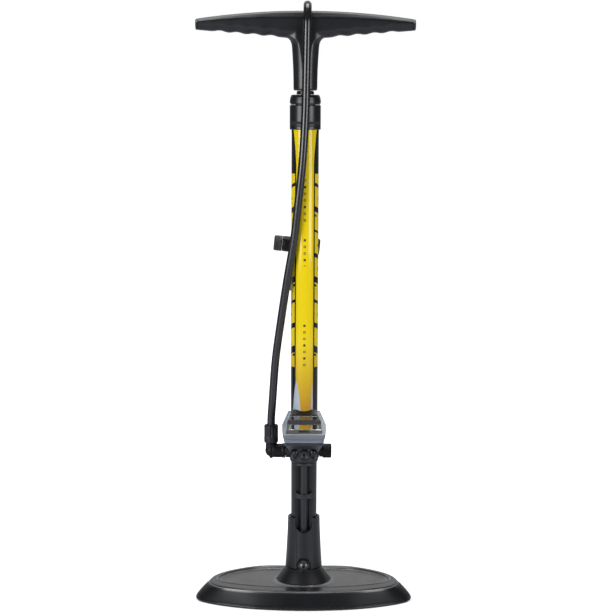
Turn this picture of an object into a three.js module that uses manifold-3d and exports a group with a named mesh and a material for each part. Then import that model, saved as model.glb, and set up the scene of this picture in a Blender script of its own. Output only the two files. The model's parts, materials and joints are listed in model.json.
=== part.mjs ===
// Floor bike pump: T handle, sliding rod, painted barrel, digital gauge, moulded column on a stamped
// steel foot, draped hose and a lever head parked behind the barrel.
// Millimetres, +Z up, -Y is the gauge side. The origin is on the floor under the pump axis.
import * as THREE from 'three';
import { mergeVertices } from 'three/addons/utils/BufferGeometryUtils.js';
import Module from 'manifold-3d';

const wasm = await Module();
wasm.setup();

// ---- driving dimensions --------------------------------------------------------------------------
const GAP = 0.3; // working clearance between neighbouring pieces

// foot
const RIM_Z = 22.5; // top edge of the foot's skirt
const SHEET = 2.2; // foot sheet thickness
const HEM = 3.5; // flat width of the rolled hem on the floor
const DOME_TOP_Z = 39.6;
const DOME_TOP_R = 23.4;
const DOME_FOOT_R = 35.8;

// socket, column and hub
const SOCKET_TOP_Z = 104.8;
const COLUMN_R = 16.3;
const CORE_R = 6.9;
const RECESS_Y = -9.4; // floor of the windows in the column
const SLOT_W = 21.2;
const COLUMN_TOP_Z = 174.8;
const HUB_R = 17.95;
const HUB_TOP_Z = 198;
const PORT_Z = 188.4; // height of the two side ports
const PORT_R = 8.75;
const SCREW_Z = 186.5;

// barrel and its top end
const BARREL_R = 16.9;
const BARREL_BORE_R = 15.3;
const BARREL_BOTTOM_Z = 198.3;
const BARREL_TOP_Z = 617.3;
const COLLAR_R = 19.1;
const COLLAR_BOTTOM_Z = 592;
const COLLAR_TOP_Z = 622.3;
const CAP_TOP_Z = 634.8;
const BUMPER_TOP_Z = 639.5;

// rod, piston and handle
const ROD_R = 5;
const ROD_TOP_Z = 719.4;
const PISTON_Z = 218;
const STEM_BOTTOM_Z = 639.8;
const HANDLE_TOP_Z = 737.4;
const HANDLE_HALF = 135;
const PLUG_T = 3;
const FINGER_PITCH = 21;
const FINGER_DEPTH = 1.7;

// hose and its fittings
const HOSE_R = 5;
const HOSE_BORE_R = 2.9;
const BARB_R = 2.2;
const ELBOW_X = -41.6;
const HOSE_START_Z = 214;

// gauge face: centre point and tilt about the X axis
const FACE = new THREE.Vector3(0, -34.5, 230.3);
const FACE_TILT = THREE.MathUtils.degToRad(32.5);

// parked pump head: centre point and tilt about the Y axis
const HEAD = new THREE.Vector3(-9.7, 31, 446.4);
const HEAD_TILT = THREE.MathUtils.degToRad(5.7);

// ---- materials -----------------------------------------------------------------------------------
function paint(color, roughness, metalness = 0) {
  return new THREE.MeshStandardMaterial({ color, roughness, metalness });
}
const satinBlack = paint(0x232427, 0.5);
const softBlack = paint(0x1b1b1d, 0.75);
const sheetBlack = paint(0x1c1d20, 0.32, 0.4);
const yellow = paint(0xe8d400, 0.25);
const silverGrey = paint(0xa9b0ba, 0.35, 0.3);
const darkGrey = paint(0x4a4c50, 0.5);
const glassBlack = paint(0x16181b, 0.06);
const clearLens = paint(0x2b2f33, 0.04);
const screenGrey = paint(0x8b9188, 0.3);
const boardGreen = paint(0x1f5a33, 0.5);
const steel = paint(0xb4b7ba, 0.28, 1);
const blackSteel = paint(0x1c1c1e, 0.35, 1);
const brass = paint(0xc9a24a, 0.3, 1);
const rubber = paint(0x151515, 0.85);

// ---- solid helpers -------------------------------------------------------------------------------

// Merge shared vertices, drop collapsed triangles and turn the faces outward.
function weld(geometry) {
  const bare = geometry.clone();
  bare.deleteAttribute('normal');
  bare.deleteAttribute('uv');
  const merged = mergeVertices(bare, 1e-4);
  const corner = [new THREE.Vector3(), new THREE.Vector3(), new THREE.Vector3()];
  const faces = [];
  let volume = 0;
  for (let i = 0; i < merged.index.count; i += 3) {
    const face = [0, 1, 2].map((k) => merged.index.getX(i + k));
    if (new Set(face).size < 3) continue;
    face.forEach((vertex, k) => corner[k].fromBufferAttribute(merged.attributes.position, vertex));
    volume += corner[0].dot(corner[1].clone().cross(corner[2]));
    faces.push(face);
  }
  if (volume < 0) faces.forEach((face) => face.reverse());
  merged.setIndex(faces.flat());
  merged.computeVertexNormals();
  return merged;
}

function toSolid(geometry) {
  const welded = weld(geometry);
  return new wasm.Manifold(new wasm.Mesh({
    numProp: 3,
    vertProperties: new Float32Array(welded.attributes.position.array),
    triVerts: new Uint32Array(welded.index.array),
  }));
}

function toGeometry(solid) {
  const mesh = solid.getMesh();
  const geometry = new THREE.BufferGeometry();
  geometry.setAttribute('position', new THREE.BufferAttribute(new Float32Array(mesh.vertProperties), 3));
  geometry.setIndex(new THREE.BufferAttribute(new Uint32Array(mesh.triVerts), 1));
  geometry.computeVertexNormals();
  return geometry;
}

function join(first, ...others) {
  return toGeometry(others.reduce((solid, other) => solid.add(toSolid(other)), toSolid(first)));
}

function cut(body, ...tools) {
  return toGeometry(tools.reduce((solid, tool) => solid.subtract(toSolid(tool)), toSolid(body)));
}

function common(first, second) {
  return toGeometry(toSolid(first).intersect(toSolid(second)));
}

// Body turned about Z from a profile of [radius, height] points; a profile off the axis becomes a ring.
function turned(profile, segments = 20) {
  const points = profile.map(([radius, height]) => new THREE.Vector2(radius, height));
  if (profile[0][0] > 0) points.push(points[0].clone());
  return weld(new THREE.LatheGeometry(points, segments).rotateX(Math.PI / 2));
}

function disc(radius, bottom, top, segments = 16) {
  return turned([[0, bottom], [radius, bottom], [radius, top], [0, top]], segments);
}

function ring(inner, outer, bottom, top, segments = 16) {
  return turned([[inner, bottom], [outer, bottom], [outer, top], [inner, top]], segments);
}

// Turn a Z-axis body so that its axis runs along +X or +Y.
const alongX = (geometry) => geometry.rotateY(Math.PI / 2);
const alongY = (geometry) => geometry.rotateX(-Math.PI / 2);

function block(x0, x1, y0, y1, z0, z1) {
  const geometry = new THREE.BoxGeometry(x1 - x0, y1 - y0, z1 - z0);
  return geometry.translate((x0 + x1) / 2, (y0 + y1) / 2, (z0 + z1) / 2);
}

function outline(points) {
  return new THREE.Shape(points.map(([u, v]) => new THREE.Vector2(u, v)));
}

// Plan-view outline [x, y] raised from one height to another.
function raised(points, bottom, top) {
  const geometry = new THREE.ExtrudeGeometry(outline(points), { depth: top - bottom, bevelEnabled: false });
  return geometry.translate(0, 0, bottom);
}

const SIDE_BASIS = new THREE.Matrix4().makeBasis(
  new THREE.Vector3(0, 1, 0), new THREE.Vector3(0, 0, 1), new THREE.Vector3(1, 0, 0));
const FRONT_BASIS = new THREE.Matrix4().makeBasis(
  new THREE.Vector3(1, 0, 0), new THREE.Vector3(0, 0, 1), new THREE.Vector3(0, -1, 0));

// Side-view outline [y, z] carried from x0 to x1.
function sideProfile(points, x0, x1) {
  const geometry = new THREE.ExtrudeGeometry(outline(points), { depth: x1 - x0, bevelEnabled: false });
  return geometry.applyMatrix4(SIDE_BASIS).translate(x0, 0, 0);
}

// Front-view outline [x, z] carried from y1 back to y0.
function frontProfile(points, y0, y1) {
  const geometry = new THREE.ExtrudeGeometry(outline(points), { depth: y1 - y0, bevelEnabled: false });
  return geometry.applyMatrix4(FRONT_BASIS).translate(0, y1, 0);
}

function mirrored(points) {
  return [...points, ...points.map(([u, v]) => [-u, v]).reverse()];
}

// Solid through a list of rings with equal point counts. The ends are filled, or the last ring
// meets the first.
function loft(rings, endless) {
  const count = rings[0].length;
  const positions = rings.flat().flatMap((point) => point.toArray());
  const faces = [];
  const spans = endless ? rings.length : rings.length - 1;
  for (let i = 0; i < spans; i += 1) {
    const next = (i + 1) % rings.length;
    for (let k = 0; k < count; k += 1) {
      const side = (k + 1) % count;
      const corners = [i * count + k, i * count + side, next * count + side, next * count + k];
      faces.push(corners[0], corners[1], corners[2], corners[0], corners[2], corners[3]);
    }
  }
  if (!endless) {
    const last = (rings.length - 1) * count;
    for (let k = 1; k < count - 1; k += 1) {
      faces.push(0, k + 1, k);
      faces.push(last, last + k, last + k + 1);
    }
  }
  const geometry = new THREE.BufferGeometry();
  geometry.setAttribute('position', new THREE.Float32BufferAttribute(positions, 3));
  geometry.setIndex(faces);
  return weld(geometry);
}

// Round bar or hollow tube along a curve.
function tube(curve, radius, steps, sides, boreRadius = 0, boreSides = 6) {
  const section = new THREE.Shape(circlePoints(radius, sides));
  if (boreRadius > 0) section.holes.push(new THREE.Path(circlePoints(boreRadius, boreSides)));
  return weld(new THREE.ExtrudeGeometry(section, { steps, extrudePath: curve, bevelEnabled: false }));
}

function circlePoints(radius, sides) {
  return Array.from({ length: sides }, (_, k) => {
    const angle = (k / sides) * Math.PI * 2;
    return new THREE.Vector2(radius * Math.cos(angle), radius * Math.sin(angle));
  });
}

function part(parent, name, geometry, material) {
  const mesh = new THREE.Mesh(geometry, material);
  mesh.name = name;
  parent.add(mesh);
  return mesh;
}

// ---- foot ----------------------------------------------------------------------------------------
const PLAN_STEPS = 36;

// Radius of a closed plan curve through mirrored points, read at equal angles around the axis.
function planRadii(halfPoints) {
  const mirroredHalf = halfPoints.slice(1, -1).map(([x, y]) => [-x, y]).reverse();
  const knots = [...halfPoints, ...mirroredHalf].map(([x, y]) => new THREE.Vector3(x, y, 0));
  const fine = new THREE.CatmullRomCurve3(knots, true, 'centripetal').getPoints(720);
  return Array.from({ length: PLAN_STEPS }, (_, k) => {
    const angle = (k / PLAN_STEPS) * Math.PI * 2 - Math.PI;
    const offBearing = (point) => Math.abs(Math.atan2(
      Math.sin(Math.atan2(point.y, point.x) - angle), Math.cos(Math.atan2(point.y, point.x) - angle)));
    const nearest = fine.reduce((best, point) => (offBearing(point) < offBearing(best) ? point : best));
    return nearest.length();
  });
}

const PANEL = planRadii([
  [0, -40.3], [60, -33.5], [94, -22], [105, -12], [106, 2], [97, 20], [80, 35], [57, 46.2], [0, 47.5]]);
const SKIRT_TOP = planRadii([
  [0, -62.2], [62, -56], [97, -45], [112, -34.5], [119.5, -18], [118.5, 0], [110, 19], [92, 38],
  [58, 56.9], [0, 58.5]]);
const SKIRT_FOOT = planRadii([
  [0, -68.8], [57, -63], [86, -54.6], [106, -46], [121, -37.3], [131, -29], [135.6, -19], [136.2, -6],
  [128, 18], [104, 46], [68, 64], [0, 68.8]]);

function planRing(height, radiusAt) {
  return SKIRT_TOP.map((top, k) => {
    const angle = (k / PLAN_STEPS) * Math.PI * 2 - Math.PI;
    const radius = radiusAt(top, SKIRT_FOOT[k], PANEL[k]);
    return new THREE.Vector3(radius * Math.cos(angle), radius * Math.sin(angle), height);
  });
}

function footPlate() {
  const hole = 4.4;
  return loft([
    planRing(DOME_TOP_Z, () => hole),
    planRing(DOME_TOP_Z, () => DOME_TOP_R),
    planRing(RIM_Z + 2, () => DOME_FOOT_R),
    planRing(RIM_Z - 0.5, (top, foot, panel) => panel - 1),
    planRing(RIM_Z + 0.8, (top, foot, panel) => panel + 1.5),
    planRing(RIM_Z + 0.4, (top) => top - 1.5),
    planRing(RIM_Z - 1.4, (top) => top),
    planRing(RIM_Z - 6.5, (top, foot) => top + 0.5 * (foot - top)),
    planRing(6, (top, foot) => top + 0.88 * (foot - top)),
    planRing(2, (top, foot) => foot),
    planRing(0, (top, foot) => foot - 0.8),
    planRing(0, (top, foot) => foot - HEM),
    planRing(6, (top, foot) => top + 0.88 * (foot - top) - SHEET),
    planRing(RIM_Z - 6.5, (top, foot) => top + 0.5 * (foot - top) - SHEET),
    planRing(RIM_Z - SHEET - 0.4, (top) => top - SHEET),
    planRing(RIM_Z - SHEET - 1.6, (top, foot, panel) => panel),
    planRing(RIM_Z - SHEET + 1.5, () => DOME_FOOT_R - 0.8),
    planRing(DOME_TOP_Z - SHEET, () => DOME_TOP_R - 1.6),
    planRing(DOME_TOP_Z - SHEET, () => hole),
  ], true);
}

const foot = new THREE.Group();
const footScrewTop = DOME_TOP_Z - SHEET; // under face of the dome
part(foot, 'base_plate', footPlate(), sheetBlack);
part(foot, 'base_washer', ring(4.4, 10, footScrewTop - 1.9, footScrewTop - GAP), steel);
part(foot, 'base_bolt', turned([
  [0, footScrewTop - 7.4], [6.3, footScrewTop - 7.4], [7, footScrewTop - 6.6], [7, footScrewTop - 2.2],
  [4, footScrewTop - 2.2], [4, footScrewTop + 21.6], [0, footScrewTop + 21.6]], 14), steel);

// ---- socket and column ---------------------------------------------------------------------------
const socketFloor = DOME_TOP_Z + GAP;
const socketSeat = socketFloor + 3.7;
const boreR = COLUMN_R + GAP;
const CLAMP_Z = 46.3;
const ARCH_R = 8.2; // arch over the head of the clamp bolt
const CLAMP_HOLE_R = 2.2;

function socketSleeve() {
  const shell = turned([
    [4.4, socketFloor], [23.1, socketFloor], [22.8, 46], [21.9, 60], [20.7, 85.3], [20.15, SOCKET_TOP_Z],
    [boreR, SOCKET_TOP_Z], [boreR, socketSeat], [4.4, socketSeat]], 28);
  const mouthR = SLOT_W / 2;
  const mouthZ = 86.3 + mouthR;
  const mouth = alongY(disc(mouthR, -30, -10, 16)).translate(0, 0, mouthZ);
  const throat = block(-mouthR, mouthR, -30, -10, mouthZ, SOCKET_TOP_Z + 1);
  const arch = alongY(disc(ARCH_R, -30, -17.9, 14)).translate(0, 0, CLAMP_Z);
  const archFoot = block(-ARCH_R, ARCH_R, -30, -17.9, socketFloor - 1, CLAMP_Z);
  const screwHole = alongY(disc(CLAMP_HOLE_R, -20, -10, 10)).translate(0, 0, CLAMP_Z);
  return cut(shell, mouth, throat, arch, archFoot, screwHole);
}

// One long window in the front of the column: a shallow recess with a rounded core standing in it.
function columnWindow(bottom, top, roundR) {
  const half = SLOT_W / 2;
  const opening = block(-half, half, -20, RECESS_Y, bottom + roundR, top);
  const sill = alongY(disc(half, -20, RECESS_Y, 16)).scale(1, 1, roundR / half)
    .translate(0, 0, bottom + roundR);
  const core = disc(CORE_R, bottom - 1, top + 1, 24).translate(0, -5.6, 0);
  return cut(join(opening, sill), core);
}

function columnTube() {
  const foot = socketSeat + GAP;
  const post = turned([
    [0, foot], [COLUMN_R - 0.4, foot], [COLUMN_R - 0.2, 65], [COLUMN_R, COLUMN_TOP_Z], [13, COLUMN_TOP_Z],
    [13, COLUMN_TOP_Z + 6], [0, COLUMN_TOP_Z + 6]], 28);
  const footThread = disc(4.3, foot - 1, foot + 16, 12);
  const clampThread = alongY(disc(CLAMP_HOLE_R, -17, -6.2, 10)).translate(0, 0, CLAMP_Z);
  const windows = [columnWindow(134.4, 171.7, 4), columnWindow(87, 129.6, 9.8)];
  return cut(post, ...windows, footThread, clampThread);
}

const column = new THREE.Group();
part(column, 'socket_sleeve', socketSleeve(), satinBlack);
part(column, 'column', columnTube(), satinBlack);
part(column, 'clamp_bolt', alongY(turned([
  [0, -28.9], [3.2, -28.2], [5.3, -25.6], [6.1, -22.6], [6.1, -18.2], [1.9, -18.2], [1.9, -6.6],
  [0, -6.6]], 14)).translate(0, 0, CLAMP_Z), blackSteel);

// ---- hub with its side fittings and check valve --------------------------------------------------
const SPIGOT_R = 14.9; // fits inside the barrel
const GROOVE_R = 13.4; // seal groove in the spigot

function hubBody() {
  const core = turned([
    [0, COLUMN_TOP_Z + GAP], [HUB_R - 0.9, COLUMN_TOP_Z + GAP], [HUB_R, COLUMN_TOP_Z + 2],
    [HUB_R, HUB_TOP_Z - 1.6], [HUB_R - 0.6, HUB_TOP_Z], [SPIGOT_R, HUB_TOP_Z],
    [SPIGOT_R, HUB_TOP_Z + 2.4], [GROOVE_R, HUB_TOP_Z + 2.4], [GROOVE_R, HUB_TOP_Z + 5.2],
    [SPIGOT_R, HUB_TOP_Z + 5.2], [SPIGOT_R, HUB_TOP_Z + 9.8], [0, HUB_TOP_Z + 9.8]], 24);
  const arm = alongX(disc(PORT_R, -23.5, 18.9, 16)).translate(0, 0, PORT_Z);
  const boss = alongY(disc(6.3, -20.9, -10, 14)).translate(0, 0, SCREW_Z);
  const leftPort = alongX(disc(6, -30, -10, 14)).translate(0, 0, PORT_Z);
  const rightPort = alongX(disc(6, 10, 30, 14)).translate(0, 0, PORT_Z);
  const crossPassage = alongX(disc(2, -12, 12, 8)).translate(0, 0, PORT_Z);
  const socket = disc(13 + GAP, COLUMN_TOP_Z - 5, COLUMN_TOP_Z + 6 + GAP, 20);
  const chamber = disc(6, HUB_TOP_Z - 13.2, HUB_TOP_Z + 11, 14);
  const seatPocket = disc(8.3, HUB_TOP_Z + 5.8, HUB_TOP_Z + 11, 16);
  const headPocket = alongY(disc(4, -22, -17.9, 12)).translate(0, 0, SCREW_Z);
  const screwHole = alongY(disc(2.1, -18, -8, 8)).translate(0, 0, SCREW_Z);
  const bores = [leftPort, rightPort, crossPassage, socket, chamber, seatPocket, headPocket, screwHole];
  const shoulders = [-1, 1].map((side) => new THREE.SphereGeometry(6.2, 14, 10).scale(0.95, 1.12, 1.28)
    .translate(side * 11.2, -11.4, SCREW_Z + 1.6));
  return cut(join(core, arm, boss, ...shoulders), ...bores);
}

const NUT_BOTTOM_Z = 198.1;
const NUT_TOP_Z = 221.8;

function elbow() {
  const run = alongX(turned([
    [0, ELBOW_X], [PORT_R - 0.6, ELBOW_X], [PORT_R, -39], [PORT_R, -23.8], [5.7, -23.8], [5.7, -16.6],
    [4.6, -16.6], [4.6, -13.8], [5.7, -13.8], [5.7, -10.3], [0, -10.3]], 14)).translate(0, 0, PORT_Z);
  const corner = new THREE.SphereGeometry(7.6, 14, 8).translate(ELBOW_X, 0, PORT_Z);
  const riser = turned([
    [0, PORT_Z], [7.2, PORT_Z], [7.2, NUT_BOTTOM_Z - GAP], [4.2, NUT_BOTTOM_Z - GAP],
    [4.2, HOSE_START_Z - GAP], [BARB_R, HOSE_START_Z - GAP], [BARB_R, HOSE_START_Z + 12],
    [0, HOSE_START_Z + 12]], 14).translate(ELBOW_X, 0, 0);
  const nub = disc(2, PORT_Z - 9.6, PORT_Z, 8).translate(ELBOW_X, 0, 0);
  const riserBore = disc(1.3, PORT_Z, HOSE_START_Z + 14, 6).translate(ELBOW_X, 0, 0);
  const runBore = alongX(disc(1.5, ELBOW_X, 0, 6)).translate(0, 0, PORT_Z);
  return cut(join(run, corner, riser, nub), riserBore, runBore);
}

const hub = new THREE.Group();
part(hub, 'hub', hubBody(), satinBlack);
part(hub, 'hub_screw', alongY(turned([
  [0, -19.6], [1.4, -19.6], [1.4, -21], [3.4, -21], [3.7, -20.6], [3.7, -18.2], [1.8, -18.2], [1.8, -8.6],
  [0, -8.6]], 12)).translate(0, 0, SCREW_Z), blackSteel);
part(hub, 'barrel_seal', ring(GROOVE_R + 0.25, 15.05, HUB_TOP_Z + 2.7, HUB_TOP_Z + 4.9, 24), rubber);
part(hub, 'hose_elbow', elbow(), softBlack);
part(hub, 'elbow_seal', alongX(ring(4.8, 5.85, -16.3, -14.1, 14)).translate(0, 0, PORT_Z), rubber);
part(hub, 'hose_nut', turned([
  [4.6, NUT_BOTTOM_Z], [8.1, NUT_BOTTOM_Z], [8.9, NUT_BOTTOM_Z + 1.6], [8.9, NUT_TOP_Z - 1.4],
  [8.2, NUT_TOP_Z], [HOSE_R + GAP, NUT_TOP_Z], [HOSE_R + GAP, HOSE_START_Z - 0.4],
  [4.6, HOSE_START_Z - 0.4]], 16).translate(ELBOW_X, 0, 0), satinBlack);
part(hub, 'port_plug', alongX(turned([
  [0, 10.3], [5.7, 10.3], [5.7, 13.8], [4.6, 13.8], [4.6, 16.6], [5.7, 16.6], [5.7, 19.2], [7.8, 19.2],
  [7.8, 23.4], [9.05, 24.2], [9.05, 33.8], [8.2, 34.6], [0, 34.6]], 14)).translate(0, 0, PORT_Z), softBlack);
part(hub, 'plug_seal', alongX(ring(4.8, 5.85, 14.1, 16.3, 14)).translate(0, 0, PORT_Z), rubber);

const VALVE_DISC_Z = HUB_TOP_Z + 2.8;
const valve = new THREE.Group();
valve.position.set(0, 0, VALVE_DISC_Z);
part(valve, 'check_valve_seat', ring(2.4, 8, 3.3, 6.6), brass);
part(valve, 'check_valve_poppet', turned([
  [0, -9], [1.4, -9], [1.4, 0], [4.6, 0], [4.6, 2], [2.9, 2.9], [0, 2.9]], 12), brass);
hub.add(valve);

class Coil extends THREE.Curve {
  constructor(radius, bottom, top, turns) {
    super();
    Object.assign(this, { radius, bottom, top, turns });
  }

  getPoint(t, target = new THREE.Vector3()) {
    const angle = t * this.turns * Math.PI * 2;
    const height = this.bottom + t * (this.top - this.bottom);
    return target.set(this.radius * Math.cos(angle), this.radius * Math.sin(angle), height);
  }
}
part(valve, 'check_valve_spring', tube(new Coil(3, -15.3, -0.7, 3.5), 0.4, 35, 4), steel);

// ---- barrel and top end --------------------------------------------------------------------------
const barrelGroup = new THREE.Group();
part(barrelGroup, 'barrel', ring(BARREL_BORE_R, BARREL_R, BARREL_BOTTOM_Z, BARREL_TOP_Z, 32), yellow);
const throatR = 12.3;
const capZ = COLLAR_TOP_Z + 1.6;
part(barrelGroup, 'barrel_collar', turned([
  [BARREL_R + GAP, COLLAR_BOTTOM_Z], [COLLAR_R - 0.5, COLLAR_BOTTOM_Z], [COLLAR_R, COLLAR_BOTTOM_Z + 1.2],
  [COLLAR_R, COLLAR_TOP_Z - 0.8], [COLLAR_R - 0.6, COLLAR_TOP_Z], [throatR, COLLAR_TOP_Z],
  [throatR, BARREL_TOP_Z + GAP], [BARREL_R + GAP, BARREL_TOP_Z + GAP]], 28), satinBlack);
part(barrelGroup, 'rod_guide', turned([
  [ROD_R + GAP, 598.5], [BARREL_BORE_R - GAP, 598.5], [BARREL_BORE_R - GAP, 612.4], [throatR - GAP, 612.4],
  [throatR - GAP, capZ - GAP], [ROD_R + GAP, capZ - GAP]], 20), softBlack);
part(barrelGroup, 'rod_wiper', ring(ROD_R + 0.2, 9, capZ + 0.1, capZ + 4.1, 16), rubber);
part(barrelGroup, 'barrel_cap', turned([
  [throatR, capZ], [COLLAR_R - 0.5, capZ], [COLLAR_R, capZ + 1.1], [COLLAR_R, capZ + 4.5], [18.2, capZ + 9],
  [17.3, capZ + 10.4], [16, CAP_TOP_Z], [ROD_R + 0.4, CAP_TOP_Z], [ROD_R + 0.4, capZ + 4.4],
  [9.3, capZ + 4.4], [9.3, capZ + 0.3], [throatR, capZ + 0.3]], 28), satinBlack);
part(barrelGroup, 'rod_bumper', turned([
  [ROD_R + 0.4, CAP_TOP_Z + GAP], [10.9, CAP_TOP_Z + GAP], [10.9, BUMPER_TOP_Z - 1.5], [9.8, BUMPER_TOP_Z],
  [ROD_R + 0.4, BUMPER_TOP_Z]], 20), rubber);

// ---- handle, rod and piston: the sliding assembly ------------------------------------------------
const slider = new THREE.Group();

const GRIP_SIDES = 12;

// Height of the grip's top and bottom edges at a distance along the arm.
function gripTop(x) {
  return HANDLE_TOP_Z - 9.7 * (x / 132) ** 2;
}

function gripBottom(x) {
  const reach = Math.abs(x);
  const plain = 701.9 + 0.084 * reach;
  const first = 31.5;
  const last = first + 4 * FINGER_PITCH;
  const inFingers = reach > first && reach < last;
  const wave = inFingers ? 0.5 - 0.5 * Math.cos(((reach - first) / FINGER_PITCH) * Math.PI * 2) : 0;
  return plain + FINGER_DEPTH * wave;
}

function gripSection(x) {
  const top = gripTop(x);
  const bottom = gripBottom(x);
  const depth = 15.5 - 4.5 * Math.abs(x / HANDLE_HALF) ** 1.5;
  const ringPoints = [];
  for (let k = 0; k < GRIP_SIDES; k += 1) {
    const angle = ((k + 0.5) / GRIP_SIDES) * Math.PI * 2;
    const round = (value) => Math.sign(value) * Math.abs(value) ** 0.7;
    const y = depth * round(Math.cos(angle));
    const z = (top + bottom) / 2 + ((top - bottom) / 2) * round(Math.sin(angle));
    ringPoints.push(new THREE.Vector3(x, y, z));
  }
  return ringPoints;
}

const armEnd = HANDLE_HALF - PLUG_T - GAP;
const armMidZ = (gripTop(armEnd) + gripBottom(armEnd)) / 2;

function handleBody() {
  const stations = [];
  for (let x = -126; x <= 126; x += FINGER_PITCH / 2) stations.push(x);
  const arms = loft([-armEnd, ...stations, armEnd].map(gripSection), false);
  const flare = turned([
    [0, STEM_BOTTOM_Z], [14.2, STEM_BOTTOM_Z], [14.7, 640.8], [14.85, 653], [15.15, 665], [15.7, 677],
    [16.6, 691], [17.2, 696.7], [18.8, 700.6], [22, 704], [26, 706.6], [12, 719], [0, 719]], 24);
  const stem = common(flare, block(-30, 30, -15.8, 15.8, STEM_BOTTOM_Z - 1, HANDLE_TOP_Z));
  const rodBore = disc(ROD_R + GAP, STEM_BOTTOM_Z - 1, ROD_TOP_Z + 0.5, 16);
  const boltHole = disc(2.9, ROD_TOP_Z - 10, ROD_TOP_Z + 12, 10);
  const boltPocket = disc(5, ROD_TOP_Z + 5, ROD_TOP_Z + 30, 12);
  const hoseGroove = alongY(disc(10, -40, 40, 24)).translate(2, 0, HANDLE_TOP_Z + 8.7);
  const leftPegHole = alongX(disc(4, -140, -118, 10)).translate(0, 0, armMidZ);
  const rightPegHole = alongX(disc(4, 118, 140, 10)).translate(0, 0, armMidZ);
  return cut(join(arms, stem), rodBore, boltHole, boltPocket, hoseGroove, leftPegHole, rightPegHole);
}

function endPlug(side) {
  const inner = gripSection(HANDLE_HALF - PLUG_T);
  const outer = gripSection(HANDLE_HALF).map((point) => new THREE.Vector3(
    point.x, point.y * 0.9, armMidZ + (point.z - armMidZ) * 0.9));
  const plate = loft([inner, gripSection(HANDLE_HALF - 0.9), outer], false);
  const peg = alongX(disc(3.7, 119, HANDLE_HALF - 1, 10)).translate(0, 0, armMidZ);
  return join(plate, peg).rotateZ(side > 0 ? 0 : Math.PI);
}

part(slider, 'handle', handleBody(), satinBlack);
part(slider, 'handle_end_plug_left', endPlug(-1), satinBlack);
part(slider, 'handle_end_plug_right', endPlug(1), satinBlack);
part(slider, 'handle_bolt', turned([
  [0, -14], [2.4, -14], [2.4, 5.3], [4.6, 5.3], [4.6, 9.6], [4.2, 10], [2, 10], [2, 7.4], [0, 7.4]], 12)
  .translate(0, 0, ROD_TOP_Z), steel);
part(slider, 'piston_rod', turned([
  [0, PISTON_Z - 7], [3.7, PISTON_Z - 7], [3.7, PISTON_Z + 14.3], [ROD_R, PISTON_Z + 14.3],
  [ROD_R, ROD_TOP_Z], [2.7, ROD_TOP_Z], [2.7, ROD_TOP_Z - 17], [0, ROD_TOP_Z - 17]], 16), steel);
part(slider, 'piston_head', turned([
  [4, 0], [14.4, 0], [14.4, 5], [11.9, 5], [11.9, 9], [14.4, 9], [14.4, 14], [4, 14]], 20)
  .translate(0, 0, PISTON_Z), darkGrey);
part(slider, 'piston_seal', ring(12.2, BARREL_BORE_R - 0.2, PISTON_Z + 5.3, PISTON_Z + 8.7, 24), rubber);
part(slider, 'piston_nut', cut(disc(7.5, -5.4, -0.3, 6), disc(4, -9, 3, 12))
  .translate(0, 0, PISTON_Z), steel);

// ---- gauge ---------------------------------------------------------------------------------------
const gauge = new THREE.Group();
const face = new THREE.Group();
face.position.copy(FACE);
face.rotation.x = FACE_TILT;
face.updateMatrix();
const onFace = (geometry) => geometry.applyMatrix4(face.matrix);

// Four-sided plan on the gauge face: narrow beside the barrel, wide at the front.
function facePlan(frontHalf, backHalf, front, back) {
  return [[-frontHalf, front], [frontHalf, front], [backHalf, back], [-backHalf, back]];
}

// Outline of the glossy face, following the housing's flanks; extra widens it into its seat.
function bezelPlan(extra) {
  const right = [[22.2, -19.3 - extra], [20.9, -9], [20.3, 4], [16.1, 14.2], [15.9, 24]]
    .map(([x, y]) => [x + extra, y]);
  return [...right, ...right.map(([x, y]) => [-x, y]).reverse()];
}

const EAR_R = 19.7; // outside of the ring that holds the gauge on the barrel
const LENS_FRONT = -12.4;
const LENS_BACK = -1;

function gaugeHousing() {
  const rearArc = Array.from({ length: 13 }, (_, k) => {
    const angle = (k / 12) * Math.PI;
    return [EAR_R * Math.cos(angle), EAR_R * Math.sin(angle)];
  });
  const leftFlank = [[-19.6, -15], [-27.4, -37], [-26.6, -49.5], [-24.6, -53.2], [0, -54.2]];
  const rightFlank = leftFlank.slice(0, -1).map(([x, y]) => [-x, y]).reverse();
  const plan = raised([...rearArc, ...leftFlank, ...rightFlank], 190, 246);
  const side = sideProfile([
    [-54.2, 209.1], [-54.2, 214.1], [-52.9, 218.5], [-16.9, 241.5], [-12, 241.5], [20, 226], [20, 200.6],
    [-28, 200.6], [-45, 206.2]], -30, 30);
  const taper = frontProfile(mirrored([
    [27.4, 246], [27.4, 221], [26.3, 214], [24.8, 209.3], [23.4, 200.6], [23, 190]]), -60, 25);
  const barrelHole = disc(BARREL_R + 0.4, 190, 250, 32);
  const bezelSeat = onFace(raised(bezelPlan(0.35), -3, 9));
  const chamber = onFace(raised(facePlan(15.3, 15.3, -17.8, 6.8), -12, 0));
  return cut(common(common(plan, side), taper), barrelHole, bezelSeat, chamber);
}

function gaugeUnderside() {
  const plan = raised([[-23.4, -51], [23.4, -51], [17.9, -18], [-17.9, -18]], 185, 212);
  const side = sideProfile([
    [-50.5, 207.5], [-48.6, 204.6], [-30, 196.2], [-21, 190.8], [-19, 190.8], [-19, 200.3], [-28, 200.3],
    [-45, 205.9]], -30, 30);
  const taper = frontProfile(mirrored([[24.3, 209.3], [22.9, 200.6], [17.9, 190], [17.9, 185]]), -60, 0);
  const hubClearance = block(-15.9, 15.9, -31, 0, 185, 196.5);
  return cut(common(common(plan, side), taper), disc(HUB_R + 0.5, 185, 212, 28), hubClearance);
}

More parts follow.
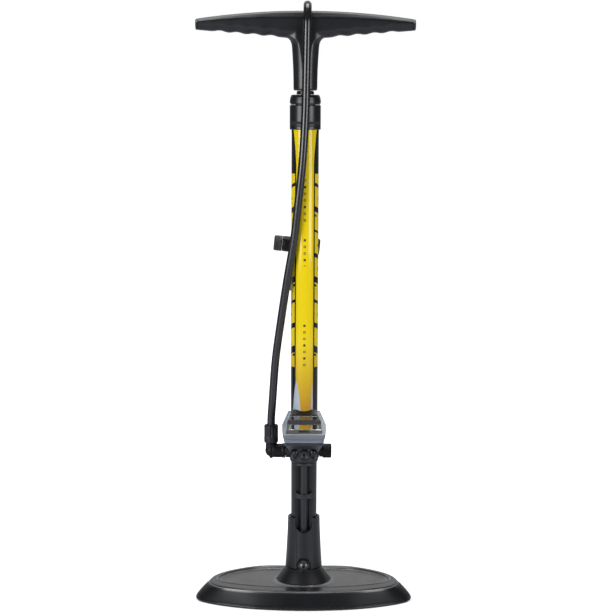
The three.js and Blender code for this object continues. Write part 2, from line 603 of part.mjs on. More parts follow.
// Glossy face: a strip for the button, a window for the lens, a ridge behind it and a ledge at the back.
function gaugeBezel() {
  const profile = sideProfile([
    [-19.8, -2.6], [-19.8, 0.45], [LENS_FRONT, 0.6], [LENS_BACK, -1.75], [5, 0.75], [13.2, -0.75],
    [14.6, 0.5], [25, 0.5], [25, -2.6]], -24, 24);
  const opening = raised(facePlan(19.4, 18.4, LENS_FRONT + 0.2, LENS_BACK - 0.2), -5, 5);
  const buttonSlot = block(-6.3, 6.3, -17.4, -14, -5, 5);
  const glossy = cut(common(profile, raised(bezelPlan(0), -4, 4)), opening, buttonSlot);
  return cut(onFace(glossy), disc(BARREL_R + GAP, 180, 260, 32));
}

function gaugeLens() {
  const front = LENS_FRONT + 0.5;
  const back = LENS_BACK - 0.5;
  const profile = sideProfile([[front, -2.9], [front, 0.35], [back, -1.75], [back, -2.9]], -24, 24);
  return common(profile, raised(facePlan(19.1, 18.1, front, back), -4, 4));
}

part(gauge, 'gauge_housing', gaugeHousing(), silverGrey);
part(gauge, 'gauge_underside', gaugeUnderside(), darkGrey);
part(gauge, 'gauge_bezel', gaugeBezel(), glassBlack);
part(face, 'gauge_lens', gaugeLens(), clearLens);
part(face, 'lcd_panel', block(-13.5, 13.5, -11.5, -1.9, -5, -3.3), screenGrey);
part(face, 'circuit_board', block(-14.8, 14.8, -13.8, 6.4, -7, -5.6), boardGreen);
part(face, 'pressure_sensor', disc(3.2, -11, -7.3, 12).translate(-10, -4, 0), steel);
part(face, 'coin_cell', turned([[0, -10.6], [7.4, -10.6], [8, -10], [8, -7.4], [0, -7.4]], 16)
  .translate(4.8, -4, 0), steel);
part(face, 'mode_button', block(-6, 6, -17.1, -14.3, -4.2, 0.95), softBlack);
gauge.add(face);

// ---- hose ----------------------------------------------------------------------------------------
const head = new THREE.Group();
head.position.copy(HEAD);
head.rotation.y = HEAD_TILT;
head.updateMatrix();
const onHead = (x, y, z) => new THREE.Vector3(x, y, z).applyMatrix4(head.matrix);

const HOSE_SEAT = 20; // hose end above the head's centre line
const hosePath = new THREE.CatmullRomCurve3([
  // up from the elbow, drifting in front of the barrel
  new THREE.Vector3(ELBOW_X, 0, HOSE_START_Z),
  new THREE.Vector3(ELBOW_X, 0, HOSE_START_Z + 14),
  new THREE.Vector3(-39.8, -1, 255),
  new THREE.Vector3(-36.1, -3.5, 305),
  new THREE.Vector3(-29.4, -8, 355),
  new THREE.Vector3(-21.7, -13.5, 406.5),
  new THREE.Vector3(-13.4, -19, 456.5),
  new THREE.Vector3(-7.9, -23, 506),
  new THREE.Vector3(-3, -25, 555),
  new THREE.Vector3(0, -25.4, 610),
  new THREE.Vector3(1.3, -25.4, 670),
  new THREE.Vector3(1.9, -25, 709.5),
  // over the handle
  new THREE.Vector3(2.2, -22.6, 727.3),
  new THREE.Vector3(2.4, -14, 739.6),
  new THREE.Vector3(2.4, 0, 744.1),
  new THREE.Vector3(2.4, 14, 739.6),
  new THREE.Vector3(2.4, 22.6, 727.3),
  // down the back to the parked head
  new THREE.Vector3(2.2, 26, 709.5),
  new THREE.Vector3(1.2, 28.5, 620),
  new THREE.Vector3(-1.2, 30, 540),
  onHead(0, 0, HOSE_SEAT + 26),
  onHead(0, 0, HOSE_SEAT + 12),
  onHead(0, 0, HOSE_SEAT),
], false, 'centripetal');
const line = new THREE.Group();
part(line, 'hose', tube(hosePath, HOSE_R, 60, 8, HOSE_BORE_R, 5), rubber);

// ---- pump head -----------------------------------------------------------------------------------
const PIVOT_Z = -15;
const EAR_GAP = 3.9; // half the clear width between the lever ears

function headBody() {
  const barrel = alongX(turned([
    [0, -18.7], [8.8, -18.7], [8.8, -16.6], [9.6, -16], [9.6, 20.4], [9, 21], [0, 21]], 18));
  const neck = turned([
    [0, 0], [7, 0], [7, 13.6], [4.2, 13.6], [4.2, 19.7], [BARB_R, 19.7], [BARB_R, 29], [0, 29]], 14);
  const ears = [-1, 1].map((side) => {
    const near = side * EAR_GAP;
    const far = side * (EAR_GAP + 2.6);
    const plate = block(-5.5, 5.5, Math.min(near, far), Math.max(near, far), PIVOT_Z, -4);
    const tip = alongY(disc(5.5, Math.min(near, far), Math.max(near, far), 12)).translate(0, 0, PIVOT_Z);
    return [plate, tip];
  }).flat();
  const plungerBore = alongX(disc(5, -30, 30, 14));
  const hoseBore = disc(1.3, 0, 30, 6);
  const pinHole = alongY(disc(1.7, -10, 10, 10)).translate(0, 0, PIVOT_Z);
  return cut(join(barrel, neck, ...ears), plungerBore, hoseBore, pinHole);
}

function headLever() {
  const knuckle = alongY(disc(5, 0.3 - EAR_GAP, EAR_GAP - 0.3, 12)).translate(0, 0, PIVOT_Z);
  const blade = frontProfile(mirrored([
    [3.9, PIVOT_Z], [4.1, PIVOT_Z - 18], [5.2, PIVOT_Z - 32], [5.2, PIVOT_Z - 40], [3.4, PIVOT_Z - 43.5]]),
  0.3 - EAR_GAP, EAR_GAP - 0.3);
  return cut(join(knuckle, blade), alongY(disc(1.7, -10, 10, 10)).translate(0, 0, PIVOT_Z));
}

// C-shaped clip on the back of the barrel that grips the head body.
function headDock() {
  const arc = (radius, from, to, steps) => Array.from({ length: steps + 1 }, (_, k) => {
    const angle = THREE.MathUtils.degToRad(from + ((to - from) * k) / steps);
    return [radius * Math.cos(angle), radius * Math.sin(angle)];
  });
  const hook = sideProfile([...arc(12.2, 55, 305, 14), ...arc(10.1, 305, 55, 14)], 8.5, 18.5);
  const saddle = sideProfile([[-19, -11], [-11.2, -7], [-11.2, 7], [-19, 11]], 3.5, 18.5);
  const placed = join(hook, saddle).applyMatrix4(head.matrix);
  return cut(placed, disc(BARREL_R + GAP, 400, 490, 32));
}

part(barrelGroup, 'head_dock', headDock(), softBlack);
part(head, 'head_body', headBody(), softBlack);
part(head, 'head_lever', headLever(), silverGrey);
part(head, 'lever_pin', alongY(disc(1.4, -6.9, 6.9, 10)).translate(0, 0, PIVOT_Z), steel);
part(head, 'head_plunger', alongX(turned([
  [0, -9], [3, -9], [4.6, -7.6], [4.6, 7.6], [3, 9], [0, 9]], 12)), darkGrey);
part(head, 'presta_cap', alongX(turned([
  [3.4, -29.5], [8.9, -29.5], [9.7, -28.7], [9.7, -19.8], [9, -19.1], [6.3, -19.1], [6.3, -26.6],
  [3.4, -26.6]], 16)), darkGrey);
part(head, 'presta_grommet', alongX(ring(2.6, 6, -26.3, -19.4, 12)), rubber);
part(head, 'schrader_cap', alongX(turned([
  [6.3, 21.4], [10.2, 21.4], [10.9, 22.4], [10.9, 26.4], [9.2, 28.8], [4.4, 28.8], [4.4, 27.4],
  [6.3, 27.4]], 16)), softBlack);
part(head, 'schrader_grommet', alongX(ring(3.8, 6, 21.7, 27.1, 12)), rubber);
part(head, 'hose_swivel', ring(HOSE_R + GAP, 7, 14, 30, 16), softBlack);

// ---- whole pump ----------------------------------------------------------------------------------
const pump = new THREE.Group();
pump.add(foot, column, hub, barrelGroup, slider, gauge, line, head);

export default pump;
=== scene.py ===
"""Floor bike pump: the finished surfaces, materials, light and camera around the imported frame."""
import json
import math
from contextlib import contextmanager

import bmesh
import bpy
import numpy as np
from mathutils import Matrix, Vector


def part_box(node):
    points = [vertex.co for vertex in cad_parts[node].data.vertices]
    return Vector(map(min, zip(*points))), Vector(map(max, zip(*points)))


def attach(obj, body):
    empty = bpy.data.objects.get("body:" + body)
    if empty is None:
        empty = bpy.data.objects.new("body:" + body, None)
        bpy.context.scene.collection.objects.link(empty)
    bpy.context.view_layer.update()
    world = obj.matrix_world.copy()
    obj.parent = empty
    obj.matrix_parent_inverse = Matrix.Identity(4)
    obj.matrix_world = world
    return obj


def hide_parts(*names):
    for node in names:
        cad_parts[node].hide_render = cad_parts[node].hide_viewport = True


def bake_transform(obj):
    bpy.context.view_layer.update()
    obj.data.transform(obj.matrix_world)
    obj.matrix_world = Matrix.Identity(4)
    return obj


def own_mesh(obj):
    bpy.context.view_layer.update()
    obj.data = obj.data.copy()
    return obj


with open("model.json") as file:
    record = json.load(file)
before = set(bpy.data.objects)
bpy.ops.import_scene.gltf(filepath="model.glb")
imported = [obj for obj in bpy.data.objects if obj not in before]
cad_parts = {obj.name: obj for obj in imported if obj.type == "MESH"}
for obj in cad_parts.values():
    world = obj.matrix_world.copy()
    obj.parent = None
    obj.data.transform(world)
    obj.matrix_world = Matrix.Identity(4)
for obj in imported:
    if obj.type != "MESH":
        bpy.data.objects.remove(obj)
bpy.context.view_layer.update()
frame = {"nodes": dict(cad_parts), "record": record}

MM = 0.001
WELD = 2e-6
record = frame["record"]
SLOT_OF = {row["node"]: row["material_slot"] for row in record["subparts"]}
BODY_OF = {node: body for body, nodes in record["behaviour"]["bodies"].items() for node in nodes}
JOINT = {joint["name"]: joint for joint in record["behaviour"]["joints"]}

ALONG_X = Matrix.Rotation(math.pi / 2, 4, "Y")
ALONG_Y = Matrix.Rotation(-math.pi / 2, 4, "X")


class Span:
    """A CAD node's box in millimetres."""

    def __init__(self, node):
        low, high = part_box(node)
        self.x0, self.y0, self.z0 = (value / MM for value in low)
        self.x1, self.y1, self.z1 = (value / MM for value in high)
        self.centre = (low + high) / 2 / MM


# ---- frame positions, all in millimetres ----

foot = Span("base_plate")
sleeve = Span("socket_sleeve")
post = Span("column")
hub = Span("hub")
barrel = Span("barrel")
collar = Span("barrel_collar")
cap = Span("barrel_cap")
bumper = Span("rod_bumper")
grip = Span("handle")
elbow = Span("hose_elbow")
nut = Span("hose_nut")
plug = Span("port_plug")
rod = Span("piston_rod")
hose_box = Span("hose")
screw = Span("hub_screw")
clamp = Span("clamp_bolt")

BARREL_R = barrel.x1
HUB_TOP = barrel.z0 - 0.3
PORT_Z = plug.centre.z
PORT_R = 8.75
PORT_LINE = Matrix.Translation((0, 0, PORT_Z)) @ ALONG_X
HOSE_R = 5.0
GRIP_HALF = Span("handle_end_plug_right").x1

SLIDE = JOINT["head_plunger_slide"]["axis"]
HEAD_TILT = math.atan2(-SLIDE[2], SLIDE[0])
HEAD = Matrix.Translation(Span("head_plunger").centre) @ Matrix.Rotation(HEAD_TILT, 4, "Y")
LENS_FRONT, LENS_BACK, RIDGE = -12.4, -1.0, 5.0
PRESS = JOINT["mode_button_press"]["axis"]
FACE_TILT = math.atan2(PRESS[1], -PRESS[2])
FACE_TURN = Matrix.Rotation(FACE_TILT, 4, "X")
BUTTON = Vector((0, -15.7, -1.625))
FACE = Matrix.Translation(Span("mode_button").centre - FACE_TURN @ BUTTON) @ FACE_TURN


# ---- mesh helpers ----

def new_object(name, data):
    obj = bpy.data.objects.new(name, data)
    bpy.context.scene.collection.objects.link(obj)
    return obj


@contextmanager
def editing(mesh):
    work = bmesh.new()
    work.from_mesh(mesh)
    yield work
    work.to_mesh(mesh)
    work.free()


def add_mesh(name, points, faces, place=None):
    """New closed mesh object from points in millimetres."""
    points = np.asarray(points, float)
    if place is not None:
        points = points @ np.array(place.to_3x3()).T + np.array(place.translation)
    mesh = bpy.data.meshes.new(name)
    mesh.from_pydata((points * MM).tolist(), [], faces)
    with editing(mesh) as work:
        bmesh.ops.remove_doubles(work, verts=work.verts, dist=WELD)
        bmesh.ops.recalc_face_normals(work, faces=work.faces)
    return new_object(name, mesh)


def skin(rings, wrap=False):
    """Points and faces through rings of equal point counts. wrap joins the last ring to the first."""
    rings = np.asarray(rings, float)
    rows, count = rings.shape[:2]
    faces = []
    for i in range(rows if wrap else rows - 1):
        here, there = i * count, (i + 1) % rows * count
        for k in range(count):
            side = (k + 1) % count
            faces.append((here + k, here + side, there + side, there + k))
    if not wrap:
        faces.append(tuple(range(count)))
        faces.append(tuple(range((rows - 1) * count, rows * count)))
    return rings.reshape(-1, 3), faces


NEARLY_STRAIGHT = math.radians(88)


def rounded(points, radius, closed=False, steps=4):
    """Polyline whose corners become arcs. A point may carry its own corner radius as a third value."""
    flat = [np.array(point[:2], float) for point in points]
    line = []
    for i, corner in enumerate(flat):
        if not closed and i in (0, len(flat) - 1):
            line.append(corner)
            continue
        back = flat[i - 1] - corner
        ahead = flat[(i + 1) % len(flat)] - corner
        back_len, ahead_len = np.linalg.norm(back), np.linalg.norm(ahead)
        back, ahead = back / back_len, ahead / ahead_len
        half = math.acos(max(-1.0, min(1.0, float(back @ ahead)))) / 2
        if half > NEARLY_STRAIGHT:
            reach = min(0.3, 0.4 * back_len, 0.4 * ahead_len)
            line += [corner + back * reach * (1 - 2 * k / steps) for k in range(steps + 1)]
            continue
        wanted = points[i][2] if len(points[i]) > 2 else radius
        reach = min(wanted / math.tan(half), 0.48 * back_len, 0.48 * ahead_len)
        centre = corner + (back + ahead) / np.linalg.norm(back + ahead) * reach / math.cos(half)
        start, end = corner + back * reach - centre, corner + ahead * reach - centre
        sweep = math.pi - 2 * half
        for t in (k / steps for k in range(steps + 1)):
            weights = math.sin((1 - t) * sweep), math.sin(t * sweep)
            line.append(centre + (start * weights[0] + end * weights[1]) / math.sin(sweep))
    return [tuple(point) for point in line]


def arc(radius, start, end, count, x=0.0, y=0.0):
    """Points along part of a circle, with the two angles in degrees."""
    angles = np.radians(np.linspace(start, end, count))
    return [(x + radius * math.cos(a), y + radius * math.sin(a)) for a in angles]


def hexagon(radius):
    return arc(radius, 0, 300, 6)


def both_sides(half):
    """A half outline followed by its mirror image, each point as (x, y) or (x, y, corner radius)."""
    return half + [(-x, y, *rest) for x, y, *rest in reversed(half)]


def dense(profile, step):
    """Profile with extra points, none further apart than step in height."""
    line = [profile[0]]
    for before, after in zip(profile, profile[1:]):
        parts = max(1, math.ceil(abs(after[1] - before[1]) / step))
        for k in range(1, parts + 1):
            line.append(tuple(np.array(before) + (np.array(after) - np.array(before)) * k / parts))
    return line


def ring_at(reach, height, angle):
    return np.stack([reach * np.cos(angle), reach * np.sin(angle), np.full(len(angle), float(height))], 1)


def turn(name, profile, closed=False, segments=128, shape=None, place=None):
    """Body turned about Z. shape(front, height, radius) may change the radius; front is 0 at -Y."""
    angle = np.arange(segments) / segments * 2 * math.pi
    front = (angle + math.pi / 2 + math.pi) % (2 * math.pi) - math.pi
    rings = []
    for radius, height in profile:
        reach = np.full(segments, float(radius))
        if shape is not None and radius > 0:
            reach = shape(front, height, reach)
        rings.append(ring_at(reach, height, angle))
    return add_mesh(name, *skin(rings, closed), place)


def dense_loop(profile, step):
    """The same for a closed profile."""
    return dense([*profile, profile[0]], step)[:-1]


def lathe(points, soft, place=None, segments=64, steps=4, closed=False):
    """Turned body whose profile corners are rounded."""
    return turn("turned", rounded(points, soft, closed, steps), closed, segments, None, place)


def extrude(outline, low, high, axis, place=None):
    """Outline carried along an axis: (x, y) along Z, (x, z) along Y, or (y, z) along X."""
    order = {"z": (0, 1, 2), "y": (0, 2, 1), "x": (2, 0, 1)}[axis]
    rings = []
    for level in (low, high):
        ring = np.array([(u, v, level) for u, v in outline], float)
        rings.append(ring[:, list(order)])
    return add_mesh("extruded", *skin(rings), place)


def slab(points, soft, low, high, axis, place=None, steps=4):
    """The same for an outline whose corners are rounded."""
    return extrude(rounded(points, soft, True, steps), low, high, axis, place)


def rod_tool(radius, low, high, place=None, segments=64):
    return turn("rod", [(0, low), (radius, low), (radius, high), (0, high)], False, segments, None, place)


def at(x, y, z):
    return Matrix.Translation((x, y, z))


def settle(obj):
    """Applies the object's modifiers to its mesh."""
    graph = bpy.context.evaluated_depsgraph_get()
    done = bpy.data.meshes.new_from_object(obj.evaluated_get(graph))
    old = obj.data
    obj.modifiers.clear()
    obj.data = done
    bpy.data.meshes.remove(old)


def modify(obj, kind, **settings):
    made = obj.modifiers.new(kind.lower(), kind)
    for key, value in settings.items():
        setattr(made, key, value)


def combine(target, operation, *tools):
    for tool in tools:
        modify(target, "BOOLEAN", operation=operation, solver="EXACT", object=tool)
    settle(target)
    for tool in tools:
        bpy.data.objects.remove(tool)
    return target


def carve(target, *tools):
    return combine(target, "DIFFERENCE", *tools)


def fuse(target, *tools):
    return combine(target, "UNION", *tools)


def keep_common(target, *tools):
    return combine(target, "INTERSECT", *tools)


def bevel(obj, width, segments=2, angle=32):
    """Rounds the sharp edges left by cuts."""
    modify(obj, "BEVEL", width=width * MM, segments=segments, limit_method="ANGLE",
           angle_limit=math.radians(angle), use_clamp_overlap=True)
    settle(obj)
    return obj


def mould(obj, voxel, smoothing):
    """Turns joined bodies into one soft-edged moulding."""
    modify(obj, "REMESH", mode="VOXEL", voxel_size=voxel * MM)
    modify(obj, "SMOOTH", factor=0.5, iterations=smoothing)
    settle(obj)
    return obj


def trim(obj, point, facing):
    """Cuts the body flat at a plane and keeps the side behind it."""
    with editing(obj.data) as work:
        everything = [*work.verts, *work.edges, *work.faces]
        cut = bmesh.ops.bisect_plane(work, geom=everything, dist=1e-7, plane_co=Vector(point) * MM,
                                     plane_no=facing, clear_outer=True)
        rim = [item for item in cut["geom_cut"] if isinstance(item, bmesh.types.BMEdge)]
        bmesh.ops.contextual_create(work, geom=rim)


def merge(target, *others):
    """Puts several bodies into one object without a boolean."""
    with editing(target.data) as work:
        for obj in others:
            work.from_mesh(obj.data)
    for obj in others:
        bpy.data.objects.remove(obj)
    return target


def stand_for(obj, node, sharp=38, rides=True):
    """Gives a finished piece its shading and material, puts it on its body, names it after its CAD node and hides
    that node.
    """
    obj.name = node + "_finished"
    obj.data.polygons.foreach_set("use_smooth", [True] * len(obj.data.polygons))
    obj.data.set_sharp_from_angle(angle=math.radians(sharp))
    if sharp < 45:
        modify(obj, "WEIGHTED_NORMAL", weight=100, keep_sharp=True)
        settle(obj)
    obj.data.name = obj.name
    obj.data.materials.clear()
    obj.data.materials.append(MATERIALS[SLOT_OF[node]])
    if rides:
        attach(obj, BODY_OF[node])
    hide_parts(node)


def between_knots(first, second, start, stop, t):
    return (first * (stop - t) + second * (t - start)) / (stop - start)


def smooth_path(points, per_span, closed=False):
    """Centripetal Catmull-Rom curve through points."""
    knots = [np.array(point, float) for point in points]
    if closed:
        knots = [knots[-1], *knots, knots[0], knots[1]]
    else:
        knots = [2 * knots[0] - knots[1], *knots, 2 * knots[-1] - knots[-2]]
    line = []
    for a, b, c, d in zip(knots, knots[1:], knots[2:], knots[3:]):
        t1 = np.linalg.norm(b - a) ** 0.5
        t2 = t1 + np.linalg.norm(c - b) ** 0.5
        t3 = t2 + np.linalg.norm(d - c) ** 0.5
        for k in range(per_span):
            t = t1 + (t2 - t1) * k / per_span
            bc = between_knots(b, c, t1, t2, t)
            abc = between_knots(between_knots(a, b, 0, t1, t), bc, 0, t2, t)
            bcd = between_knots(bc, between_knots(c, d, t2, t3, t), t1, t3, t)
            line.append(between_knots(abc, bcd, t1, t2, t))
    if not closed:
        line.append(knots[-2])
    return np.array(line)


def pipe(name, path, radius, sides=28):
    """Round bar along a path, without twist."""
    tangents = np.gradient(path, axis=0)
    tangents /= np.linalg.norm(tangents, axis=1)[:, None]
    normal = np.cross(tangents[0], (0.0, 1.0, 0.0))
    normal /= np.linalg.norm(normal)
    angle = np.arange(sides) / sides * 2 * math.pi
    rings = []
    for point, tangent in zip(path, tangents):
        normal = normal - tangent * (normal @ tangent)
        normal /= np.linalg.norm(normal)
        side = np.cross(tangent, normal)
        rings.append(point + radius * (np.outer(np.cos(angle), normal) + np.outer(np.sin(angle), side)))
    return add_mesh(name, *skin(rings))


def ease(value, low, high):
    """Smooth step from 0 at low to 1 at high."""
    t = np.clip((value - low) / np.maximum(high - low, 1e-6), 0, 1)
    return t * t * (3 - 2 * t)


# ---- materials ----

GLOSS_SWING = 0.07


class Nodes:
    """A node tree being put together."""

    def __init__(self, tree):
        self.tree = tree

    def add(self, kind, **settings):
        made = self.tree.nodes.new(kind)
        for key, value in settings.items():
            setattr(made, key, value)
        return made

    def feed(self, socket, value):
        if isinstance(value, bpy.types.NodeSocket):
            self.tree.links.new(value, socket)
        else:
            socket.default_value = value

    def math(self, operation, first, *more):
        """One value from several, taken two at a time."""
        result = first
        for value in more or (0.0,):
            made = self.add("ShaderNodeMath", operation=operation)
            self.feed(made.inputs[0], result)
            self.feed(made.inputs[1], value)
            result = made.outputs[0]
        return result

    def times(self, *values):
        return self.math("MULTIPLY", *values)

    def plus(self, *values):
        return self.math("ADD", *values)

    def minus(self, first, second):
        return self.math("SUBTRACT", first, second)

    def largest(self, *values):
        return self.math("MAXIMUM", *values)

    def axes(self, source):
        split = self.add("ShaderNodeSeparateXYZ")
        self.feed(split.inputs[0], source)
        return split.outputs

    def span(self, value, low, high, start=0.0, end=1.0):
        """Clamped straight line from start at low to end at high."""
        made = self.add("ShaderNodeMapRange", clamp=True)
        for socket, number in zip(made.inputs, (value, low, high, start, end)):
            self.feed(socket, number)
        return made.outputs[0]


class Paint(Nodes):
    """A material being put together."""

    def __init__(self, name):
        self.material = bpy.data.materials.new(name)
        self.material.use_nodes = True
        super().__init__(self.material.node_tree)
        self.surface = self.tree.nodes["Principled BSDF"]
        self.place = self.add("ShaderNodeTexCoord").outputs["Object"]

    def set(self, name, value):
        self.feed(self.surface.inputs[name], value)

    def base(self):
        return self.surface.inputs["Base Color"].links[0].from_socket

    def noise(self, scale, detail=2.0, stretch=None):
        made = self.add("ShaderNodeTexNoise")
        made.inputs["Scale"].default_value = scale
        made.inputs["Detail"].default_value = detail
        source = self.place
        if stretch is not None:
            mapping = self.add("ShaderNodeMapping")
            mapping.inputs["Scale"].default_value = stretch
            self.feed(mapping.inputs["Vector"], self.place)
            source = mapping.outputs["Vector"]
        self.feed(made.inputs["Vector"], source)
        return made.outputs["Fac"]

    def mix(self, factor, first, second):
        made = self.add("ShaderNodeMix", data_type="RGBA")
        self.feed(made.inputs[0], factor)
        for index, colour in ((6, first), (7, second)):
            whole = colour if isinstance(colour, bpy.types.NodeSocket) else (*colour, 1.0)
            self.feed(made.inputs[index], whole)
        return made.outputs[2]

    def bump(self, height, strength, depth, below=None):
        made = self.add("ShaderNodeBump")
        made.inputs["Strength"].default_value = strength
        made.inputs["Distance"].default_value = depth
        self.feed(made.inputs["Height"], height)
        if below is not None:
            self.feed(made.inputs["Normal"], below)
        return made.outputs["Normal"]

    def finish(self, colour, rough, grain, worn, metallic=0.0, specular=0.5):
        """Colour with broad and fine variation, worn edges, uneven gloss and a surface grain."""
        grain_scale, grain_strength, grain_depth = grain
        worn_colour, worn_share = worn
        broad, fine = self.noise(35.0, 3.0), self.noise(grain_scale, 3.0)
        uneven = self.plus(self.times(broad, 0.6), self.times(fine, 0.4))
        darker, lighter = (tuple(share * c for c in colour) for share in (0.82, 1.18))
        shaded = self.mix(self.span(uneven, 0.3, 0.7), darker, lighter)
        point = self.add("ShaderNodeNewGeometry").outputs["Pointiness"]
        edge = self.times(self.span(point, 0.53, 0.62), worn_share)
        self.set("Base Color", self.mix(self.times(edge, self.span(fine, 0.35, 0.6)), shaded, worn_colour))
        self.set("Roughness", self.span(uneven, 0.25, 0.75, rough - GLOSS_SWING, rough + GLOSS_SWING))
        self.set("Metallic", metallic)
        self.set("Specular IOR Level", specular)
        height = self.plus(fine, self.times(broad, 0.5))
        self.set("Normal", self.bump(height, grain_strength, grain_depth * MM))
        return self.material


def below(paint, value, limit, soft):
    """1 where value is under limit, with a soft edge."""
    return paint.span(paint.minus(limit, value), -soft, soft)


def within(paint, value, low, high, soft):
    return paint.times(below(paint, low, value, soft), below(paint, value, high, soft))


def side_blocks(paint, folded, z):
    """Plain slanted blocks down the black sides, some of them notched. folded is in degrees."""
    pitch, low, high = 29.0, 297.0, 538.0
    slant = paint.plus(z, paint.times(folded, 0.1))
    cell = paint.math("DIVIDE", paint.minus(slant, 300.0), pitch)
    part = paint.math("FRACT", cell)
    odd = paint.math("FRACT", paint.times(paint.math("FLOOR", cell), 0.382))
    length = paint.span(odd, 0.0, 1.0, 0.7, 0.92)
    inner_cut = paint.times(within(paint, part, 0.34, 0.46, 0.01), below(paint, 70.0, folded, 0.8),
                            below(paint, 0.45, odd, 0.01))
    outer_cut = paint.times(within(paint, part, 0.56, 0.66, 0.01), below(paint, folded, 60.0, 0.8),
                            below(paint, odd, 0.3, 0.01))
    whole = paint.times(below(paint, part, length, 0.012), within(paint, folded, 47.0, 91.0, 0.8),
                        within(paint, z, low, high, 0.4))
    return paint.times(whole, paint.minus(1.0, paint.largest(inner_cut, outer_cut)))


def front_marks(paint, x, y, z):
    """Three groups of small dashes down the front, some of them hollow."""
    pitch, half_width = 8.2, 1.45
    row = paint.math("DIVIDE", paint.minus(z, 299.0), pitch)
    tick = paint.math("FRACT", row)
    pick = paint.math("FRACT", paint.times(paint.math("FLOOR", row), 0.618))
    off = paint.math("ABSOLUTE", x)
    spans = ((299.0, 354.0), (424.0, 463.0), (476.0, 533.0))
    groups = paint.largest(*[within(paint, z, low, high, 0.2) for low, high in spans])
    hole = paint.times(within(paint, tick, 0.11, 0.24, 0.02), below(paint, off, 0.75, 0.1),
                       below(paint, pick, 0.6, 0.01))
    dash = paint.times(below(paint, y, 0.0, 0.2), groups, below(paint, tick, 0.36, 0.02),
                       below(paint, off, half_width, 0.1))
    return paint.times(dash, paint.minus(1.0, hole))


def silver_spears(paint, folded, x, z):
    """Pointed silver panels at the foot of the barrel, broad on the left and narrow on the right."""
    foot_z, tip_z = 240.0, 279.0
    rise = paint.math("POWER", paint.span(z, foot_z, tip_z, 1.0, 0.0), 0.6)

    def panel(middle, half_width):
        off = paint.math("ABSOLUTE", paint.minus(folded, middle))
        return below(paint, off, paint.times(rise, half_width), 1.0)

    left = below(paint, x, 0.0, 0.2)
    right = paint.minus(1.0, left)
    either = paint.largest(paint.times(left, panel(36.0, 21.0)), paint.times(right, panel(34.5, 5.5)))
    return paint.times(either, below(paint, z, tip_z, 0.3))


def barrel_paint():
    """Gloss paint: a yellow stripe that flares under the collar, black sides with yellow blocks."""
    paint = Paint("barrel_paint")
    x, y, z = (paint.times(axis, 1 / MM) for axis in paint.axes(paint.place))
    bearing = paint.math("ARCTAN2", x, paint.times(y, -1.0))
    around = paint.math("DEGREES", paint.math("ABSOLUTE", bearing))
    folded = paint.math("MINIMUM", around, paint.minus(180.0, around))
    flare = paint.math("POWER", paint.span(z, collar.z0 - 45, collar.z0), 1.6)
    stripe = below(paint, folded, paint.plus(39.6, paint.times(flare, 17.4)), 1.0)
    yellow = paint.largest(stripe, side_blocks(paint, folded, z))
    tone = paint.noise(240.0, 4.0)
    shaded_yellow = paint.mix(tone, (0.40, 0.185, 0.0003), (0.43, 0.20, 0.0004))
    bright = paint.mix(tone, (0.78, 0.58, 0.0003), (0.82, 0.62, 0.0005))
    black = paint.mix(tone, (0.003, 0.003, 0.003), (0.006, 0.006, 0.006))
    silver = paint.mix(tone, (0.36, 0.42, 0.48), (0.42, 0.48, 0.54))
    # Painted shade: the yellow darkens to orange towards the gauge below, from z 330 down to 235.
    colour = paint.mix(yellow, black, paint.mix(paint.span(z, 235.0, 330.0), shaded_yellow, bright))
    colour = paint.mix(silver_spears(paint, folded, x, z), colour, silver)
    colour = paint.mix(front_marks(paint, x, y, z), colour, (0.05, 0.045, 0.02))
    paint.set("Base Color", colour)
    paint.set("Roughness", paint.span(tone, 0.3, 0.7, 0.45, 0.6))
    paint.set("Specular IOR Level", 0.04)
    paint.set("Coat Weight", 0.85)
    paint.set("Coat Roughness", 0.07)
    peel = paint.bump(paint.noise(700.0, 2.0), 0.05, 0.05 * MM)
    paint.set("Normal", paint.bump(paint.times(yellow, 0.5), 0.3, 0.03 * MM, peel))
    return paint.material


def brushed(name, colour, rough, stretch):
    """Turned metal: fine lines, uneven gloss and a few dull patches."""
    paint = Paint(name)
    lines = paint.noise(90.0, 4.0, stretch)
    patch = paint.noise(140.0, 3.0)
    dull = tuple(0.72 * c for c in colour)
    paint.set("Base Color", paint.mix(paint.span(patch, 0.35, 0.7), colour, dull))
    paint.set("Metallic", 1.0)
    paint.set("Roughness", paint.span(lines, 0.3, 0.7, rough - 0.07, rough + 0.1))
    paint.set("Normal", paint.bump(lines, 0.12, 0.03 * MM))
    return paint.material


def bezel_gloss():
    """Polished smoke plastic, satin on the strip that carries the button and on the top lip."""
    paint = Paint("bezel_gloss")
    height = paint.axes(paint.place)[2]
    strip_top = (FACE @ Vector((0, LENS_FRONT, 0.6))).z * MM
    lip_foot = (FACE @ Vector((0, 13.8, 0.5))).z * MM
    strip = paint.span(height, strip_top - 0.2 * MM, strip_top - 0.6 * MM)
    lip = paint.span(height, lip_foot, lip_foot + 0.3 * MM)
    dull = paint.largest(strip, lip)
    smear = paint.noise(120.0, 3.0)
    polished = paint.mix(smear, (0.016, 0.018, 0.020), (0.026, 0.028, 0.030))
    lower = paint.mix(strip, polished, (0.050, 0.046, 0.047))
    paint.set("Base Color", paint.mix(lip, lower, (0.010, 0.010, 0.011)))
    satin = paint.plus(paint.times(strip, 0.38), paint.times(lip, 0.1))
    paint.set("Roughness", paint.plus(paint.span(smear, 0.3, 0.7, 0.03, 0.08), satin))
    paint.set("IOR", 2.3)
    paint.set("Specular IOR Level", paint.span(dull, 0.0, 1.0, 1.0, 0.1))
    paint.set("Coat Weight", paint.span(dull, 0.0, 1.0, 0.5, 0.0))
    paint.set("Normal", paint.bump(paint.noise(900.0, 2.0), 0.04, 0.03 * MM))
    return paint.material


